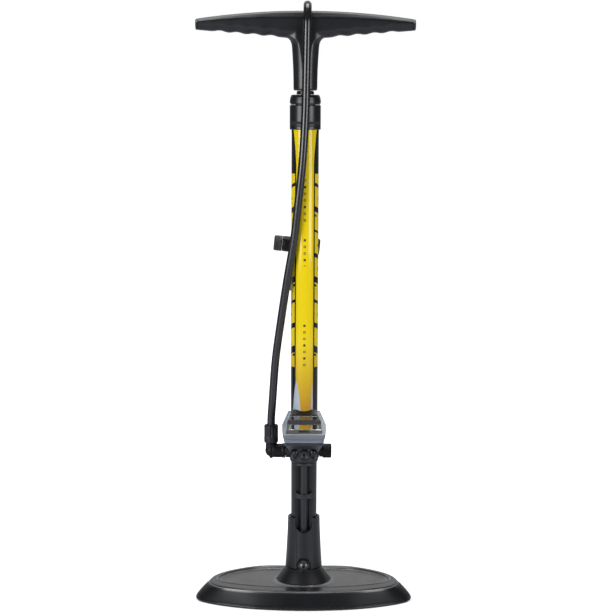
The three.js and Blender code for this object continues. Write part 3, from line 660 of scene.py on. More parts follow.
def lens_gloss():
    """Clear-over-black display window, dark and strongly reflecting."""
    paint = Paint("gauge_lens")
    smear = paint.noise(90.0, 3.0)
    paint.set("Base Color", paint.mix(smear, (0.030, 0.033, 0.036), (0.045, 0.048, 0.052)))
    paint.set("Roughness", paint.span(smear, 0.3, 0.7, 0.015, 0.05))
    paint.set("IOR", 3.8)
    paint.set("Specular IOR Level", 1.0)
    paint.set("Coat Weight", 1.0)
    paint.set("Coat Roughness", 0.01)
    paint.set("Normal", paint.bump(smear, 0.02, 0.05 * MM))
    return paint.material


def lcd_glass():
    """Grey display with faint horizontal segment rows."""
    paint = Paint("lcd")
    rows = paint.noise(300.0, 1.0, (0.3, 3.0, 3.0))
    paint.set("Base Color", paint.mix(paint.span(rows, 0.4, 0.6), (0.26, 0.29, 0.26), (0.34, 0.37, 0.33)))
    paint.set("Roughness", paint.span(rows, 0.3, 0.7, 0.2, 0.35))
    return paint.material


def plastic(name, colour, rough, grain, worn, **more):
    return Paint(name).finish(colour, rough, grain, worn, **more)


def foot_coat():
    """Black powder coat: smooth on top, duller down the sloping skirt, with painted highlight lines on the raised
    edges.
    """
    paint = Paint("sheet_black")
    paint.finish((0.010, 0.0105, 0.012), 0.34, (700.0, 0.10, 0.03), ((0.05, 0.05, 0.055), 0.25))
    x, y, height = paint.axes(paint.place)

    def levels(low, high):
        return paint.span(height, low * MM, high * MM)

    glossy = paint.largest(levels(19.0, 20.2), levels(3.4, 2.4))
    paint.set("Coat Weight", paint.times(glossy, 0.55))
    paint.set("Coat Roughness", 0.16)
    paint.set("Specular IOR Level", paint.span(glossy, 0.0, 1.0, 0.16, 0.35))
    reach = paint.math("SQRT", paint.plus(paint.times(x, x), paint.times(y, y)))
    # Painted highlight: a lighter colour, broken into patches, on the step round the panel, the foot of the dome,
    # the top of the skirt and the bead.
    shoulder = paint.times(levels(20.9, 21.5), levels(22.6, 22.1))
    bead = paint.times(levels(23.7, 23.85), paint.span(reach, 40 * MM, 45 * MM))
    patches = paint.span(paint.noise(60.0), 0.25, 0.6, 0.4, 1.0)
    painted_highlight = paint.times(paint.largest(shoulder, bead), patches)
    paint.set("Base Color", paint.mix(painted_highlight, paint.base(), (0.17, 0.18, 0.195)))
    return paint.material


def black_steel():
    """Blackened steel with painted shade: near black and without gloss where the surface is occluded, as in the
    drive recess.
    """
    paint = Paint("black_steel")
    paint.finish((0.030, 0.030, 0.032), 0.25, (900.0, 0.2, 0.04), ((0.10, 0.10, 0.105), 0.5))
    # Painted shade: ambient occlusion turns the colour near black and takes the gloss away in hollows.
    occlusion = paint.add("ShaderNodeAmbientOcclusion", samples=8, only_local=True)
    occlusion.inputs["Distance"].default_value = 5.0 * MM
    unshaded = paint.span(occlusion.outputs["AO"], 0.55, 0.9)
    paint.set("Base Color", paint.mix(unshaded, (0.001, 0.001, 0.001), paint.base()))
    paint.set("Specular IOR Level", paint.times(unshaded, 0.8))
    return paint.material


MATERIALS = {
    "sheet_black": foot_coat(),
    "moulded_black": plastic("moulded_black", (0.0075, 0.0080, 0.0100), 0.31, (1900.0, 0.18, 0.03),
                             ((0.05, 0.05, 0.055), 0.3)),
    "soft_black": plastic("soft_black", (0.006, 0.006, 0.007), 0.40, (1200.0, 0.28, 0.05),
                          ((0.04, 0.04, 0.044), 0.3), specular=0.22),
    "black_steel": black_steel(),
    "barrel_paint": barrel_paint(),
    "gauge_silver": plastic("gauge_silver", (0.145, 0.165, 0.195), 0.33, (2200.0, 0.25, 0.03),
                            ((0.30, 0.33, 0.37), 0.5), metallic=0.15, specular=0.7),
    "dark_grey": plastic("dark_grey", (0.030, 0.032, 0.037), 0.42, (1400.0, 0.3, 0.06),
                         ((0.12, 0.12, 0.125), 0.35)),
    "bezel_gloss": bezel_gloss(),
    "gauge_lens": lens_gloss(),
    "lcd": lcd_glass(),
    "board": plastic("board", (0.02, 0.12, 0.05), 0.4, (500.0, 0.3, 0.05), ((0.2, 0.25, 0.1), 0.2)),
    "steel": brushed("steel", (0.60, 0.61, 0.63), 0.24, (1.0, 1.0, 9.0)),
    "brass": brushed("brass", (0.72, 0.50, 0.20), 0.3, (1.0, 1.0, 7.0)),
    "rubber": plastic("rubber", (0.006, 0.0065, 0.0085), 0.24, (3200.0, 0.06, 0.02),
                      ((0.02, 0.02, 0.022), 0.1), specular=0.7),
}
for node_name, node_object in frame["nodes"].items():
    node_object.data.materials.clear()
    node_object.data.materials.append(MATERIALS[SLOT_OF[node_name]])


# ---- stamped foot ----

FOOT_STEPS = 240
SHEET = 2.2


def plan_radius(half_outline):
    """Radius all round of an outline mirrored left to right, given from its front to its back."""
    mirrored = [(-x, y) for x, y in half_outline[-2:0:-1]]
    loop = smooth_path([*half_outline, *mirrored], 24, closed=True)
    bearing = np.arctan2(loop[:, 1], loop[:, 0])
    order = np.argsort(bearing)
    wanted = np.arange(FOOT_STEPS) / FOOT_STEPS * 2 * math.pi - math.pi
    reach = np.hypot(loop[:, 0], loop[:, 1])
    return np.interp(wanted, bearing[order], reach[order], period=2 * math.pi)


def base_plate():
    panel = plan_radius([(0, -40.3), (60, -33.5), (94, -22), (105, -12), (106, 2), (97, 20), (80, 35),
                         (57, 46.2), (0, 47.5)])
    top = plan_radius([(0, -62.2), (62, -56), (97, -45), (112, -34.5), (119.5, -18), (118.5, 0), (110, 19),
                       (92, 38), (58, 56.9), (0, 58.5)])
    floor = plan_radius([(0, -68.8), (57, -63), (86, -54.6), (106, -46), (121, -37.3), (131, -29),
                         (135.6, -19), (136.2, -6), (128, 18), (104, 46), (68, 64), (0, 68.8)])
    crown, rim, sunk, hem = foot.z1, 23.4, 21.0, 2.1
    dome_drop = crown - 1.8 - sunk - 1.2
    rows = [(crown, 4.4), (crown, 21.6), (crown - 0.2, 22.7), (crown - 0.9, 23.6), (crown - 1.8, 24.1)]
    for t in np.linspace(0.08, 0.9, 9):
        rows.append((crown - 1.8 - dome_drop * t, 24.1 + 10.4 * t ** 0.9))
    rows += [(sunk + 1.6, 34.4), (sunk + 0.7, 35.9), (sunk + 0.2, 38.0), (sunk, 41.0)]
    for t in (0.25, 0.5, 0.75):
        rows.append((sunk, 41.0 + (panel - 44.0) * t))
    for t in np.linspace(0, 1, 8):
        rows.append((sunk + (rim - sunk) * t * t * (3 - 2 * t), panel - 2.6 + 4.6 * t))
    for rise, out in ((0.4, 2.6), (0.6, 3.3), (0.5, 4.0), (0.2, 4.7)):
        rows.append((rim + rise, panel + out))
    for t in (0.3, 0.6, 0.85):
        rows.append((rim + 0.1 * math.sin(math.pi * t), panel + 4.7 + (top - panel - 7.9) * t))
    for bend in np.radians(np.linspace(0, 68, 6)):
        rows.append((rim - 2.9 * (1 - math.cos(bend)) * 1.6, top - 3.2 + 3.45 * math.sin(bend)))
    skirt_top = rows[-1][0]

    def skirt(t, inward=0.0, down=0.0):
        return skirt_top - (skirt_top - 5.0) * t - down, top + (floor - 1.3 - top) * t ** 0.8 - inward

    rows += [skirt(t) for t in np.linspace(0.08, 1, 14)]
    for roll in np.radians(np.linspace(70, -90, 9)):
        rows.append((hem + hem * math.sin(roll), floor - hem + hem * math.cos(roll)))
    rows += [(0, floor - 3.4), (0.9, floor - 4.1), (4.0, floor - 4.3)]
    rows += [skirt(t, SHEET + 0.6, 0.3) for t in np.linspace(1, 0.1, 8)]
    rows += [(rim - 3.4, top - 4.2), (rim - SHEET - 0.2, top - 6.0), (rim - SHEET, panel + 3.0),
             (sunk - SHEET, panel - 1.0), (sunk - SHEET, panel * 0.5 + 19.0), (sunk - SHEET, 38.0),
             (sunk - 1.0, 34.0), (crown - SHEET - 1.2, 22.4), (crown - SHEET, 21.4), (crown - SHEET, 4.4)]
    angle = np.arange(FOOT_STEPS) / FOOT_STEPS * 2 * math.pi - math.pi
    rings = [ring_at(radius, height, angle) for height, radius in rows]
    stand_for(add_mesh("plate", *skin(rings, wrap=True)), "base_plate", sharp=60)


def foot_fasteners():
    bolt, washer = Span("base_bolt"), Span("base_washer")
    disc = [(4.4, washer.z0), (10, washer.z0), (10, washer.z1), (4.4, washer.z1)]
    stand_for(lathe(disc, 0.4, None, 96, 3, True), "base_washer")
    head_top = washer.z0 - 0.3
    shank = [(0, bolt.z0), (6.4, bolt.z0), (7, bolt.z0 + 1, 0.6), (7, head_top), (4, head_top), (4, bolt.z1),
             (0, bolt.z1)]
    socket = extrude(hexagon(3.4), bolt.z0 - 1, bolt.z0 + 3.2, "z")
    stand_for(bevel(carve(lathe(shank, 0.5, None, 96, 3), socket), 0.2), "base_bolt")


# ---- socket, column and hub ----

SLOT_HALF = 10.6


def u_outline(half, low, rise, high):
    """Slot with a rounded sill, as (x, z)."""
    sill = [(half * math.cos(a), low + rise - rise * math.sin(a)) for a in np.linspace(0, math.pi, 33)]
    return [(half, high), *sill, (-half, high)]


def socket_sleeve():
    low, high = sleeve.z0, sleeve.z1
    bore, seat = 16.7, low + 3.7
    walls = [(4.4, low), (22.8, low), (23.1, low + 0.8), (22.8, low + 6), (21.9, low + 20), (20.7, low + 45),
             (20.15, high), (bore, high), (bore, seat), (4.4, seat)]
    profile = dense(rounded(walls, 0.7, False, 3), 2.0)

    def front_panel(front, height, radius):
        if radius[0] < 19:
            return radius
        half = 8.4 + 2.4 * (height - low) / (high - low)
        across = np.abs(radius * np.sin(front))
        facing = np.cos(front) > 0
        recess = ease(half - across, -0.45, 0.45) * 0.75
        groove = np.exp(-((across - half) / 0.55) ** 2) * 0.35
        return radius - np.where(facing, recess + groove, 0.0)

    body = turn("sleeve", profile, True, 360, front_panel)
    arch_line = both_sides([(-8.4, low - 2), (-8.0, low + 8), (-5.6, low + 14.6, 2.4)])
    mouth = extrude(u_outline(SLOT_HALF, low + 46.4, SLOT_HALF, high + 2), -32, -9, "y")
    arch = slab(arch_line, 3.0, -32, -17.9, "y")
    stand_for(bevel(carve(body, mouth, arch), 0.35), "socket_sleeve")


def column_post():
    low, high, top = post.z0, post.z1 - 6, post.z1
    radius, core = post.x1, 6.9
    profile = [(0, low), (radius - 0.4, low), (radius - 0.2, low + 21), (radius, high, 0.6), (13, high), (13, top),
               (0, top)]
    body = lathe(profile, 0.4, None, 128, 3)
    tools = []
    for window_low, window_high, rise in ((134.4, 171.7, 4.0), (87.0, 129.6, 9.8)):
        recess = extrude(u_outline(SLOT_HALF, window_low, rise, window_high), -20, -6.8, "y")
        carve(recess, rod_tool(core, low, top, at(0, -5.6, 0)))
        for x in (-3.6, 3.6):
            groove = [(x - 0.45, -12.6), (x + 0.45, -12.6), (x + 0.45, -10.2), (x - 0.45, -10.2)]
            fuse(recess, extrude(groove, window_low + rise, window_high, "z"))
        tools.append(recess)
    stand_for(bevel(carve(body, *tools), 0.4), "column")


def clamp_bolt():
    radius, depth, seat = 7.4, 6.1, -18.2
    dome = [(radius * math.cos(a), clamp.y0 + depth - depth * math.sin(a)) for a in np.linspace(math.pi / 2, 0, 15)]
    head = [*dome, (radius, seat - 0.2), (radius - 0.3, seat), (1.9, seat), (1.9, clamp.y1), (0, clamp.y1)]
    place = at(0, 0, clamp.centre.z - 1.3)
    body = turn("bolt", head, False, 64, None, place @ ALONG_Y)
    carve(body, extrude(hexagon(1.5), clamp.y0 - 1, clamp.y0 + 1.6, "y", place))
    stand_for(bevel(body, 0.12), "clamp_bolt")


def valve_spring():
    """Coil under the check valve's poppet."""
    coil = Span("check_valve_spring")
    wire, turns = 0.4, 3.5
    reach = (coil.x1 - coil.x0) / 2 - wire
    low, high = coil.z0 + wire, coil.z1 - wire
    path = []
    for t in np.linspace(0, 1, 141):
        bearing = t * turns * 2 * math.pi
        path.append((reach * math.cos(bearing), reach * math.sin(bearing), low + (high - low) * t))
    body = pipe("spring", np.array(path), wire, 12)
    stand_for(body, "check_valve_spring", sharp=60)
    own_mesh(body)


def ball(radius, centre, stretch):
    profile = [(radius * math.sin(a), -radius * math.cos(a)) for a in np.linspace(0, math.pi, 25)]
    return turn("ball", profile, False, 48, None, at(*centre) @ Matrix.Diagonal((*stretch, 1)))


def hub_body():
    low, radius, boss_z = hub.z0, 17.95, screw.centre.z
    boss_line = at(0, 0, boss_z) @ ALONG_Y
    core = lathe([
        (0, low), (radius - 0.9, low), (radius, low + 1.8), (radius, HUB_TOP), (14.9, HUB_TOP),
        (14.9, HUB_TOP + 2.4), (13.4, HUB_TOP + 2.4), (13.4, HUB_TOP + 5.2), (14.9, HUB_TOP + 5.2),
        (14.9, hub.z1), (0, hub.z1)], 0.5, None, 128, 3)
    arm = lathe([(0, hub.x0), (PORT_R, hub.x0), (PORT_R, hub.x1), (0, hub.x1)], 0.6, PORT_LINE)
    boss = lathe([(0, -20.2), (4.4, -20.2), (4.9, -20.9), (6.3, -20.9), (6.6, -19.0), (7.4, -10), (0, -10)], 0.5,
                 boss_line)
    shoulders = [ball(6.2, (x, -11.4, boss_z + 1.6), (0.95, 1.12, 1.28)) for x in (-11.2, 11.2)]
    mould(merge(core, arm, boss, *shoulders), 0.4, 3)
    tools = [
        rod_tool(3.95, -24, -17.9, boss_line),
        rod_tool(13.3, low - 1, low + 6.3),
        rod_tool(6, HUB_TOP - 13.2, HUB_TOP + 12),
        rod_tool(8.3, HUB_TOP + 5.8, HUB_TOP + 12),
        rod_tool(6, -30, -10, PORT_LINE),
        rod_tool(6, 10, 30, PORT_LINE),
    ]
    stand_for(carve(core, *tools), "hub")
    face = screw.y0
    head = lathe([(0, face + 0.3), (3.2, face + 0.3), (3.75, face + 0.9), (3.75, -18.2), (1.8, -18.2), (1.8, -8.6),
                  (0, -8.6)], 0.4, boss_line)
    keyway = [(-2.4, boss_z + 1.8), (2.4, boss_z + 1.8), (0.9, boss_z - 1.0), (0.8, boss_z - 2.6),
              (-0.8, boss_z - 2.6), (-0.9, boss_z - 1.0)]
    carve(head, extrude(keyway, face - 1, face + 2.0, "y"))
    stand_for(head, "hub_screw")


def elbow_body():
    x = nut.centre.x
    run = lathe([
        (0, x + 0.6), (6.4, x + 0.6), (PORT_R, x + 3.0), (PORT_R, -27.6), (9.3, -27.2), (9.3, -23.8), (5.7, -23.8),
        (5.7, -16.6), (4.6, -16.6), (4.6, -13.8), (5.7, -13.8), (5.7, -10.3), (0, -10.3)], 0.5, PORT_LINE)
    corner = ball(7.7, (x, 0, PORT_Z), (0.98, 1, 1.0))
    riser = lathe([
        (0, PORT_Z), (7.2, PORT_Z), (6.9, nut.z0 - 0.3), (4.2, nut.z0 - 0.3), (4.2, 213.7), (2.2, 213.7),
        (2.2, elbow.z1), (0, elbow.z1)], 0.4, at(x, 0, 0))
    nub = lathe([(0, elbow.z0), (1.9, elbow.z0), (3.0, PORT_Z - 6.0), (0, PORT_Z - 6.0)], 0.5, at(x, 0, 0), 32)
    mould(merge(run, corner, riser, nub), 0.38, 4)
    stand_for(run, "hose_elbow")


def hose_nut():
    low, high = nut.z0, nut.z1
    line = rounded([(4.6, low), (7.4, low), (8.95, low + 2.0), (8.95, high - 1.6), (7.9, high), (5.3, high),
                    (5.3, 213.6), (4.6, 213.6)], 0.45, True, 3)

    def flutes(front, height, radius):
        if radius[0] < 7.6:
            return radius
        reach = ease(height, low + 7.6, low + 9.4) * (1 - ease(height, high - 3.6, high - 2.4))
        return radius - 0.85 * (0.5 + 0.5 * np.cos(12 * front)) ** 2 * reach

    stand_for(turn("nut", dense_loop(line, 0.7), True, 240, flutes, at(nut.centre.x, 0, 0)), "hose_nut", sharp=50)


def ridged(teeth, depth, start, rise, smallest):
    """Radius rule for turn(): ridges between two heights, on the part wider than smallest."""
    low, high = start

    def shape(front, height, radius):
        if radius[0] < smallest:
            return radius
        reach = ease(height, low, low + rise) * (1 - ease(height, high - rise, high))
        return radius - depth * (0.5 + 0.5 * np.cos(teeth * front)) * reach

    return shape


def port_plug():
    line = rounded([(0, 10.3), (5.7, 10.3), (5.7, 19.2), (7.8, 19.2), (7.8, 23.2), (9.05, 24.0, 0.4),
                    (9.05, 33.6), (8.2, 34.6), (0, 34.6)], 0.4, False, 3)
    knurl = ridged(40, 0.22, (25.0, 33.2), 0.6, 8.6)
    stand_for(turn("plug", dense(line, 0.6), False, 320, knurl, PORT_LINE), "port_plug", sharp=55)


# ---- barrel ----

NECK_R = 12.3


def barrel_tube():
    bore = BARREL_R - 1.6
    line = [(bore, barrel.z0), (BARREL_R, barrel.z0), (BARREL_R, barrel.z1), (bore, barrel.z1)]
    stand_for(lathe(line, 0.3, None, 160, 2, True), "barrel")


def barrel_collar():
    low, high = collar.z0, collar.z1
    radius = collar.x1
    bore, shelf = BARREL_R + 0.3, barrel.z1 + 0.3
    line = rounded([(bore, low), (radius - 0.3, low), (radius + 0.05, low + 0.8), (radius, low + 2.0),
                    (radius, high - 0.9), (radius - 0.7, high), (NECK_R, high), (NECK_R, shelf), (bore, shelf)],
                   0.3, True, 3)

    def chin(front, height, radius_here):
        if radius_here[0] < radius - 1.5:
            return radius_here
        facing = np.clip(np.cos(front), 0, 1) ** 1.1
        ridge = low + 9.6 - 4.9 * facing
        crease = ridge + 5.8 * facing
        depth = 1.55 * facing
        slope = ease(height, ridge, crease)
        above = radius_here - depth * (1 - slope)
        lip = np.exp(-((height - ridge) / 0.7) ** 2) * 0.55 * facing ** 0.5
        return np.where(height < ridge, radius_here - depth * 1.15, above) + lip

    stand_for(turn("collar", dense_loop(line, 0.45), True, 200, chin), "barrel_collar", sharp=60)


def barrel_cap():
    low, top = cap.z0, cap.z1
    radius = cap.x1
    neck = collar.z1 + 0.3
    hole, seat = 5.4, 9.3
    line = [(NECK_R, neck), (radius - 0.9, neck), (radius - 0.9, low), (radius - 0.6, low), (radius, low + 0.7),
            (radius, low + 3.6), (radius - 0.7, low + 7.6), (radius - 1.8, low + 10.2), (radius - 3.1, top),
            (hole, top), (hole, low + 4.4), (seat, low + 4.4), (seat, low + 0.3), (NECK_R, low + 0.3)]
    stand_for(lathe(line, 0.5, None, 160, 3, True), "barrel_cap")
    base, crest, edge = bumper.z0, bumper.z1, bumper.x1
    ring = [(hole, base), (edge - 0.2, base), (edge, base + 1.4, 1.2), (edge - 0.4, crest - 0.5, 1.2),
            (edge - 1.8, crest), (hole, crest)]
    stand_for(lathe(ring, 0.4, None, 96, 4, True), "rod_bumper")


# ---- handle and rod ----

FINGERS, FINGER_START, FINGER_PITCH, FINGER_DEPTH = 4, 31.5, 21.0, 1.7
GRIP_DROP, GRIP_LOW, GRIP_SLOPE = 9.7, 701.9, 0.084


def grip_top(x):
    return grip.z1 - GRIP_DROP * (x / 132) ** 2


def grip_bottom(x):
    reach = abs(x)
    phase = (reach - FINGER_START) / FINGER_PITCH
    wave = 0.5 - 0.5 * math.cos(phase * 2 * math.pi) if 0 < phase < FINGERS else 0.0
    return GRIP_LOW + GRIP_SLOPE * reach + FINGER_DEPTH * wave


def grip_section(x, inset=0.0):
    """Grip outline at a place along the arm: a crease runs along the front and the back."""
    top, bottom = grip_top(x) - inset, grip_bottom(x) + inset
    share = min(1.0, abs(x) / GRIP_HALF)
    depth = 15.5 - 4.5 * share ** 1.5 - inset
    crease = top - (9.8 - 4.6 * share)
    half = [(0, bottom), (depth * 0.55, bottom + 0.5), (depth * 0.93, bottom + 6.5), (depth, crease, 0.7),
            (depth * 0.62, top - 0.9), (0, top)]
    right = rounded(half, 4.5, False, 5)
    left = [(-y, z) for y, z in right[-2:0:-1]]
    return np.array([(x, y, z) for y, z in right + left])


def handle_body():
    end = GRIP_HALF - 3.3
    stations = np.linspace(-end - 6, end + 6, 241)
    arms = add_mesh("handle", *skin([grip_section(x) for x in stations]))
    low = grip.z0
    flare = dense(rounded([
        (0, low), (14.4, low), (14.7, low + 1), (14.85, 653), (15.15, 665), (15.7, 677), (16.6, 691), (17.2, 696.7),
        (18.8, 700.6), (22, 704), (27, 706.6), (12, 719), (0, 719)], 0.6, False, 3), 4.0)
    stem = turn("tool", flare, False, 128)
    front = both_sides([(36, -5.5), (21, -11.5, 12), (12, -14.9, 12)])
    plan = front + [(-x, -y, *rest) for x, y, *rest in front]
    keep_common(stem, slab(plan, 3.0, low - 1, grip.z1, "z", steps=6))
    mould(merge(arms, stem), 0.9, 14)
    for side in (-1, 1):
        trim(arms, (side * end, 0, 0), (side, 0, 0))
    groove = rod_tool(10, -40, 40, at(2, 0, grip.z1 + 8.7) @ ALONG_Y, 96)
    bore = rod_tool(5.3, low - 5, rod.z1 + 0.5)
    pocket = rod_tool(5, rod.z1 + 5, grip.z1 + 20)
    carve(arms, groove, bore, pocket)
    stand_for(arms, "handle", sharp=60)


def end_plugs():
    outer = GRIP_HALF
    for side, node in ((-1, "handle_end_plug_left"), (1, "handle_end_plug_right")):
        rings = []
        for x, inset in ((outer - 3.0, 0.25), (outer - 2.7, 0.0), (outer - 1.0, 0.0), (outer - 0.45, 0.25),
                         (outer - 0.1, 0.8), (outer, 1.5), (outer, 2.6), (outer - 0.5, 3.0), (outer - 0.5, 3.6)):
            section = grip_section(side * outer, inset)
            section[:, 0] = side * x
            rings.append(section)
        stand_for(add_mesh("plug", *skin(rings)), node, sharp=40)


def slider_hardware():
    line = [(0, rod.z0), (3.7, rod.z0), (3.7, rod.z0 + 21.3), (5, rod.z0 + 21.3), (5, rod.z1), (2.7, rod.z1),
            (2.7, rod.z1 - 17), (0, rod.z1 - 17)]
    stand_for(lathe(line, 0.3, None, 96, 3), "piston_rod")
    bolt = Span("handle_bolt")
    line = [(0, bolt.z0), (2.4, bolt.z0), (2.4, bolt.z1 - 4.7), (4.6, bolt.z1 - 4.7), (4.6, bolt.z1), (2, bolt.z1),
            (2, bolt.z1 - 2.6), (0, bolt.z1 - 2.6)]
    stand_for(lathe(line, 0.35, None, 64, 3), "handle_bolt")


# ---- gauge ----

def face_plan(front_half, back_half, front, back, radius=1.0):
    """Four-sided outline with rounded corners, as wide at the front and the back as asked."""
    corners = [(-front_half, front), (front_half, front), (back_half, back), (-back_half, back)]
    return rounded(corners, radius, True, 4)


def gauge_outline(spread):
    """Plan of the housing: a ring round the barrel that swells to the front. spread narrows the front."""
    rear = [(x, y, 0.01) for x, y in arc(19.7, 0, 180, 49)]
    flank = [(-19.6, -15, 4), (-27.4 * spread, -37, 7), (-26.6 * spread, -49.5, 3), (-24.6 * spread, -53.2, 1.2),
             (-12 * spread, -54.0, 30)]
    return rounded(rear + both_sides(flank), 0.01, True, 5)


def gauge_housing():
    rings = []
    for height, spread in ((186, 0.80), (201, 0.86), (209, 0.915), (214, 0.965), (221, 1.0), (246, 1.0)):
        rings.append([(x, y, height) for x, y in gauge_outline(spread)])
    body = add_mesh("gauge", *skin(rings))
    top_back, top_front = FACE @ Vector((0, 20.8, 0)), FACE @ Vector((0, -21.9, 0))
    side = [(-54.2, top_front.z - 9.4), (-54.6, top_front.z - 8.2), (-52.9, top_front.z - 4.6),
            (-53.4, top_front.z), (top_back.y, top_back.z), (-12, 241.5), (20, 226), (20, 200.6), (-28, 200.6),
            (-45, 206.2)]
    keep_common(body, slab(side, 0.3, -30, 30, "x", steps=2))
    seat = extrude(bezel_plan(0.35), -3, 9, "z", FACE)
    chamber = extrude(face_plan(15.3, 15.3, -17.8, 6.8), -12, 0, "z", FACE)
    carve(body, rod_tool(BARREL_R + 0.4, 180, 250, None, 128), seat, chamber)
    stand_for(bevel(body, 0.6, 3, 24), "gauge_housing", sharp=30)


def gauge_underside():
    body = extrude(face_plan(23.4, 17.9, -51, -18), 180, 212, "z")
    side = [(-50.5, 207.5), (-48.6, 204.6), (-30, 196.2), (-21, 190.8), (-19, 190.8), (-19, 200.3), (-28, 200.3),
            (-45, 205.9)]
    keep_common(body, extrude(side, -30, 30, "x"))
    hollow = extrude(face_plan(15.9, 15.9, 180, 196.5, 3.0), -31, 0, "y")
    carve(body, rod_tool(18.45, 180, 212, None, 128), hollow)
    stand_for(bevel(body, 0.5, 3, 30), "gauge_underside")


def bezel_plan(extra=0.0):
    """Outline of the dark face, following the housing's flanks."""
    half = [(22.2, -19.3, 1.5), (20.9, -9, 6), (20.3, 4, 6), (16.1, 14.2, 3), (15.9, 24, 0.5)]
    right = [(x + extra, y + math.copysign(extra, y) * (abs(y) > 15), r) for x, y, r in half]
    return rounded(both_sides(right), 1.0, True)


def gauge_face():
    side = [(-19.8, -2.6), (-19.8, 0.45), (LENS_FRONT, 0.6), (LENS_BACK, -1.75), (RIDGE, 0.75), (13.2, -0.75),
            (14.6, 0.5), (25, 0.5), (25, -2.6)]
    bezel = slab(side, 0.25, -24, 24, "x", FACE, 3)
    keep_common(bezel, extrude(bezel_plan(), -4, 4, "z", FACE))
    window = extrude(face_plan(19.4, 18.4, LENS_FRONT + 0.2, LENS_BACK - 0.2, 1.6), -5, 5, "z", FACE)
    slot = extrude(face_plan(6.3, 6.3, -17.4, -14.0, 0.8), -5, 5, "z", FACE)
    carve(bezel, window, slot, rod_tool(BARREL_R + 0.3, 180, 260, None, 128))
    stand_for(bevel(bezel, 0.3, 3, 24), "gauge_bezel", sharp=30)
    near, far = LENS_FRONT + 0.5, LENS_BACK - 0.5
    lens = slab([(near, -2.9), (near, 0.35), (far, -1.75), (far, -2.9)], 0.3, -24, 24, "x", FACE, 3)
    keep_common(lens, extrude(face_plan(19.1, 18.1, near, far, 1.4), -4, 4, "z", FACE))
    stand_for(bevel(lens, 0.25, 3, 30), "gauge_lens", sharp=30)
    rings = []
    for level, inset in ((-4.2, 0.3), (-3.9, 0.0), (0.9, 0.0), (1.15, 0.12), (1.3, 0.45)):
        half = 6 - inset
        plan = face_plan(half, half, -17.1 + inset, -14.3 - inset, 0.6)
        rings.append([(u, v, level - 0.35) for u, v in plan])
    stand_for(add_mesh("button", *skin(rings), FACE), "mode_button", sharp=50)


# ---- hose ----

def on_head(x, y, z):
    return tuple(HEAD @ Vector((x, y, z)))


def hose():
    """Up from the elbow, in front of the barrel, over the handle and down the back to the head."""
    x, start = nut.centre.x, hose_box.z0
    rise = [(x, 0, start), (x, 0, start + 14), (-39.8, -1, 255), (-36.1, -3.5, 305), (-29.4, -8, 355),
            (-21.7, -13.5, 406.5), (-13.4, -19, 456.5), (-7.9, -23, 506), (-3, -25, 555), (0, -25.4, 610),
            (1.3, -25.4, 670)]
    over = [(1.9, -25, 709.5), (2.2, -22.6, 727.3), (2.4, -14, 739.6), (2.4, 0, 744.1), (2.4, 14, 739.6),
            (2.4, 22.6, 727.3), (2.2, 26, 709.5)]
    fall = [(1.2, 28.5, 620), (-1.2, 30, 540), on_head(0, 0, 46), on_head(0, 0, 32), on_head(0, 0, 20)]
    body = pipe("hose", smooth_path(rise + over + fall, 20), HOSE_R, 56)
    stand_for(body, "hose", sharp=60, rides=False)
    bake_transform(body)


# ---- pump head ----

PIN_BORE = 1.7


def knurled_cap(node, line, teeth, ends, depth):
    knurl = ridged(teeth, depth, ends, 0.5, 8.6)
    stand_for(turn("cap", dense_loop(line, 0.6), True, teeth * 8, knurl, HEAD @ ALONG_X), node, sharp=55)


def head_body(pivot, pin_line, ear_gap):
    body = lathe([(0, -18.9), (9.5, -18.9), (9.5, -16.8), (9.8, -16.0), (9.8, 20.2), (8.8, 21), (0, 21)], 0.4,
                 HEAD @ ALONG_X, 96)
    neck = lathe([(0, 0), (7.6, 8), (7, 13.6), (4.2, 13.6), (4.2, 19.7), (2.2, 19.7), (2.2, 29), (0, 29)], 0.4, HEAD)
    ears = []
    for side in (-1, 1):
        near, far = sorted((side * ear_gap, side * (ear_gap + 2.6)))
        ears.append(extrude([(6.5, -4), (-6.5, -4), *arc(5.5, 180, 360, 25, 0, pivot)], near, far, "y", HEAD))
    mould(merge(body, neck, *ears), 0.38, 3)
    carve(body, rod_tool(5, -30, 30, HEAD @ ALONG_X), rod_tool(PIN_BORE, -10, 10, pin_line))
    stand_for(body, "head_body", sharp=50)


def head_lever(pivot, pin_line, half_width):
    knuckle = [(x, z, 0.01) for x, z in arc(5, 0, 180, 17, 0, pivot)]
    edge = [(-4.6, pivot - 12, 10), (-5.2, pivot - 32, 8), (-5.2, pivot - 40, 2), (-3.4, pivot - 43.5, 2)]
    lever = slab(knuckle + both_sides(edge), 0.5, -half_width, half_width, "y", HEAD)
    rest = [(-2.8, pivot - 40), (2.8, pivot - 40), (2.8, pivot - 24), (-2.8, pivot - 24)]
    thumb = slab(rest, 2.6, half_width - 0.8, half_width + 2.3, "y", HEAD, 8)
    carve(lever, thumb, rod_tool(PIN_BORE, -10, 10, pin_line))
    stand_for(bevel(lever, 0.6, 3, 35), "head_lever")
    stand_for(lathe([(0, -6.9), (1.4, -6.9), (1.4, 6.9), (0, 6.9)], 0.3, pin_line, 48), "lever_pin")


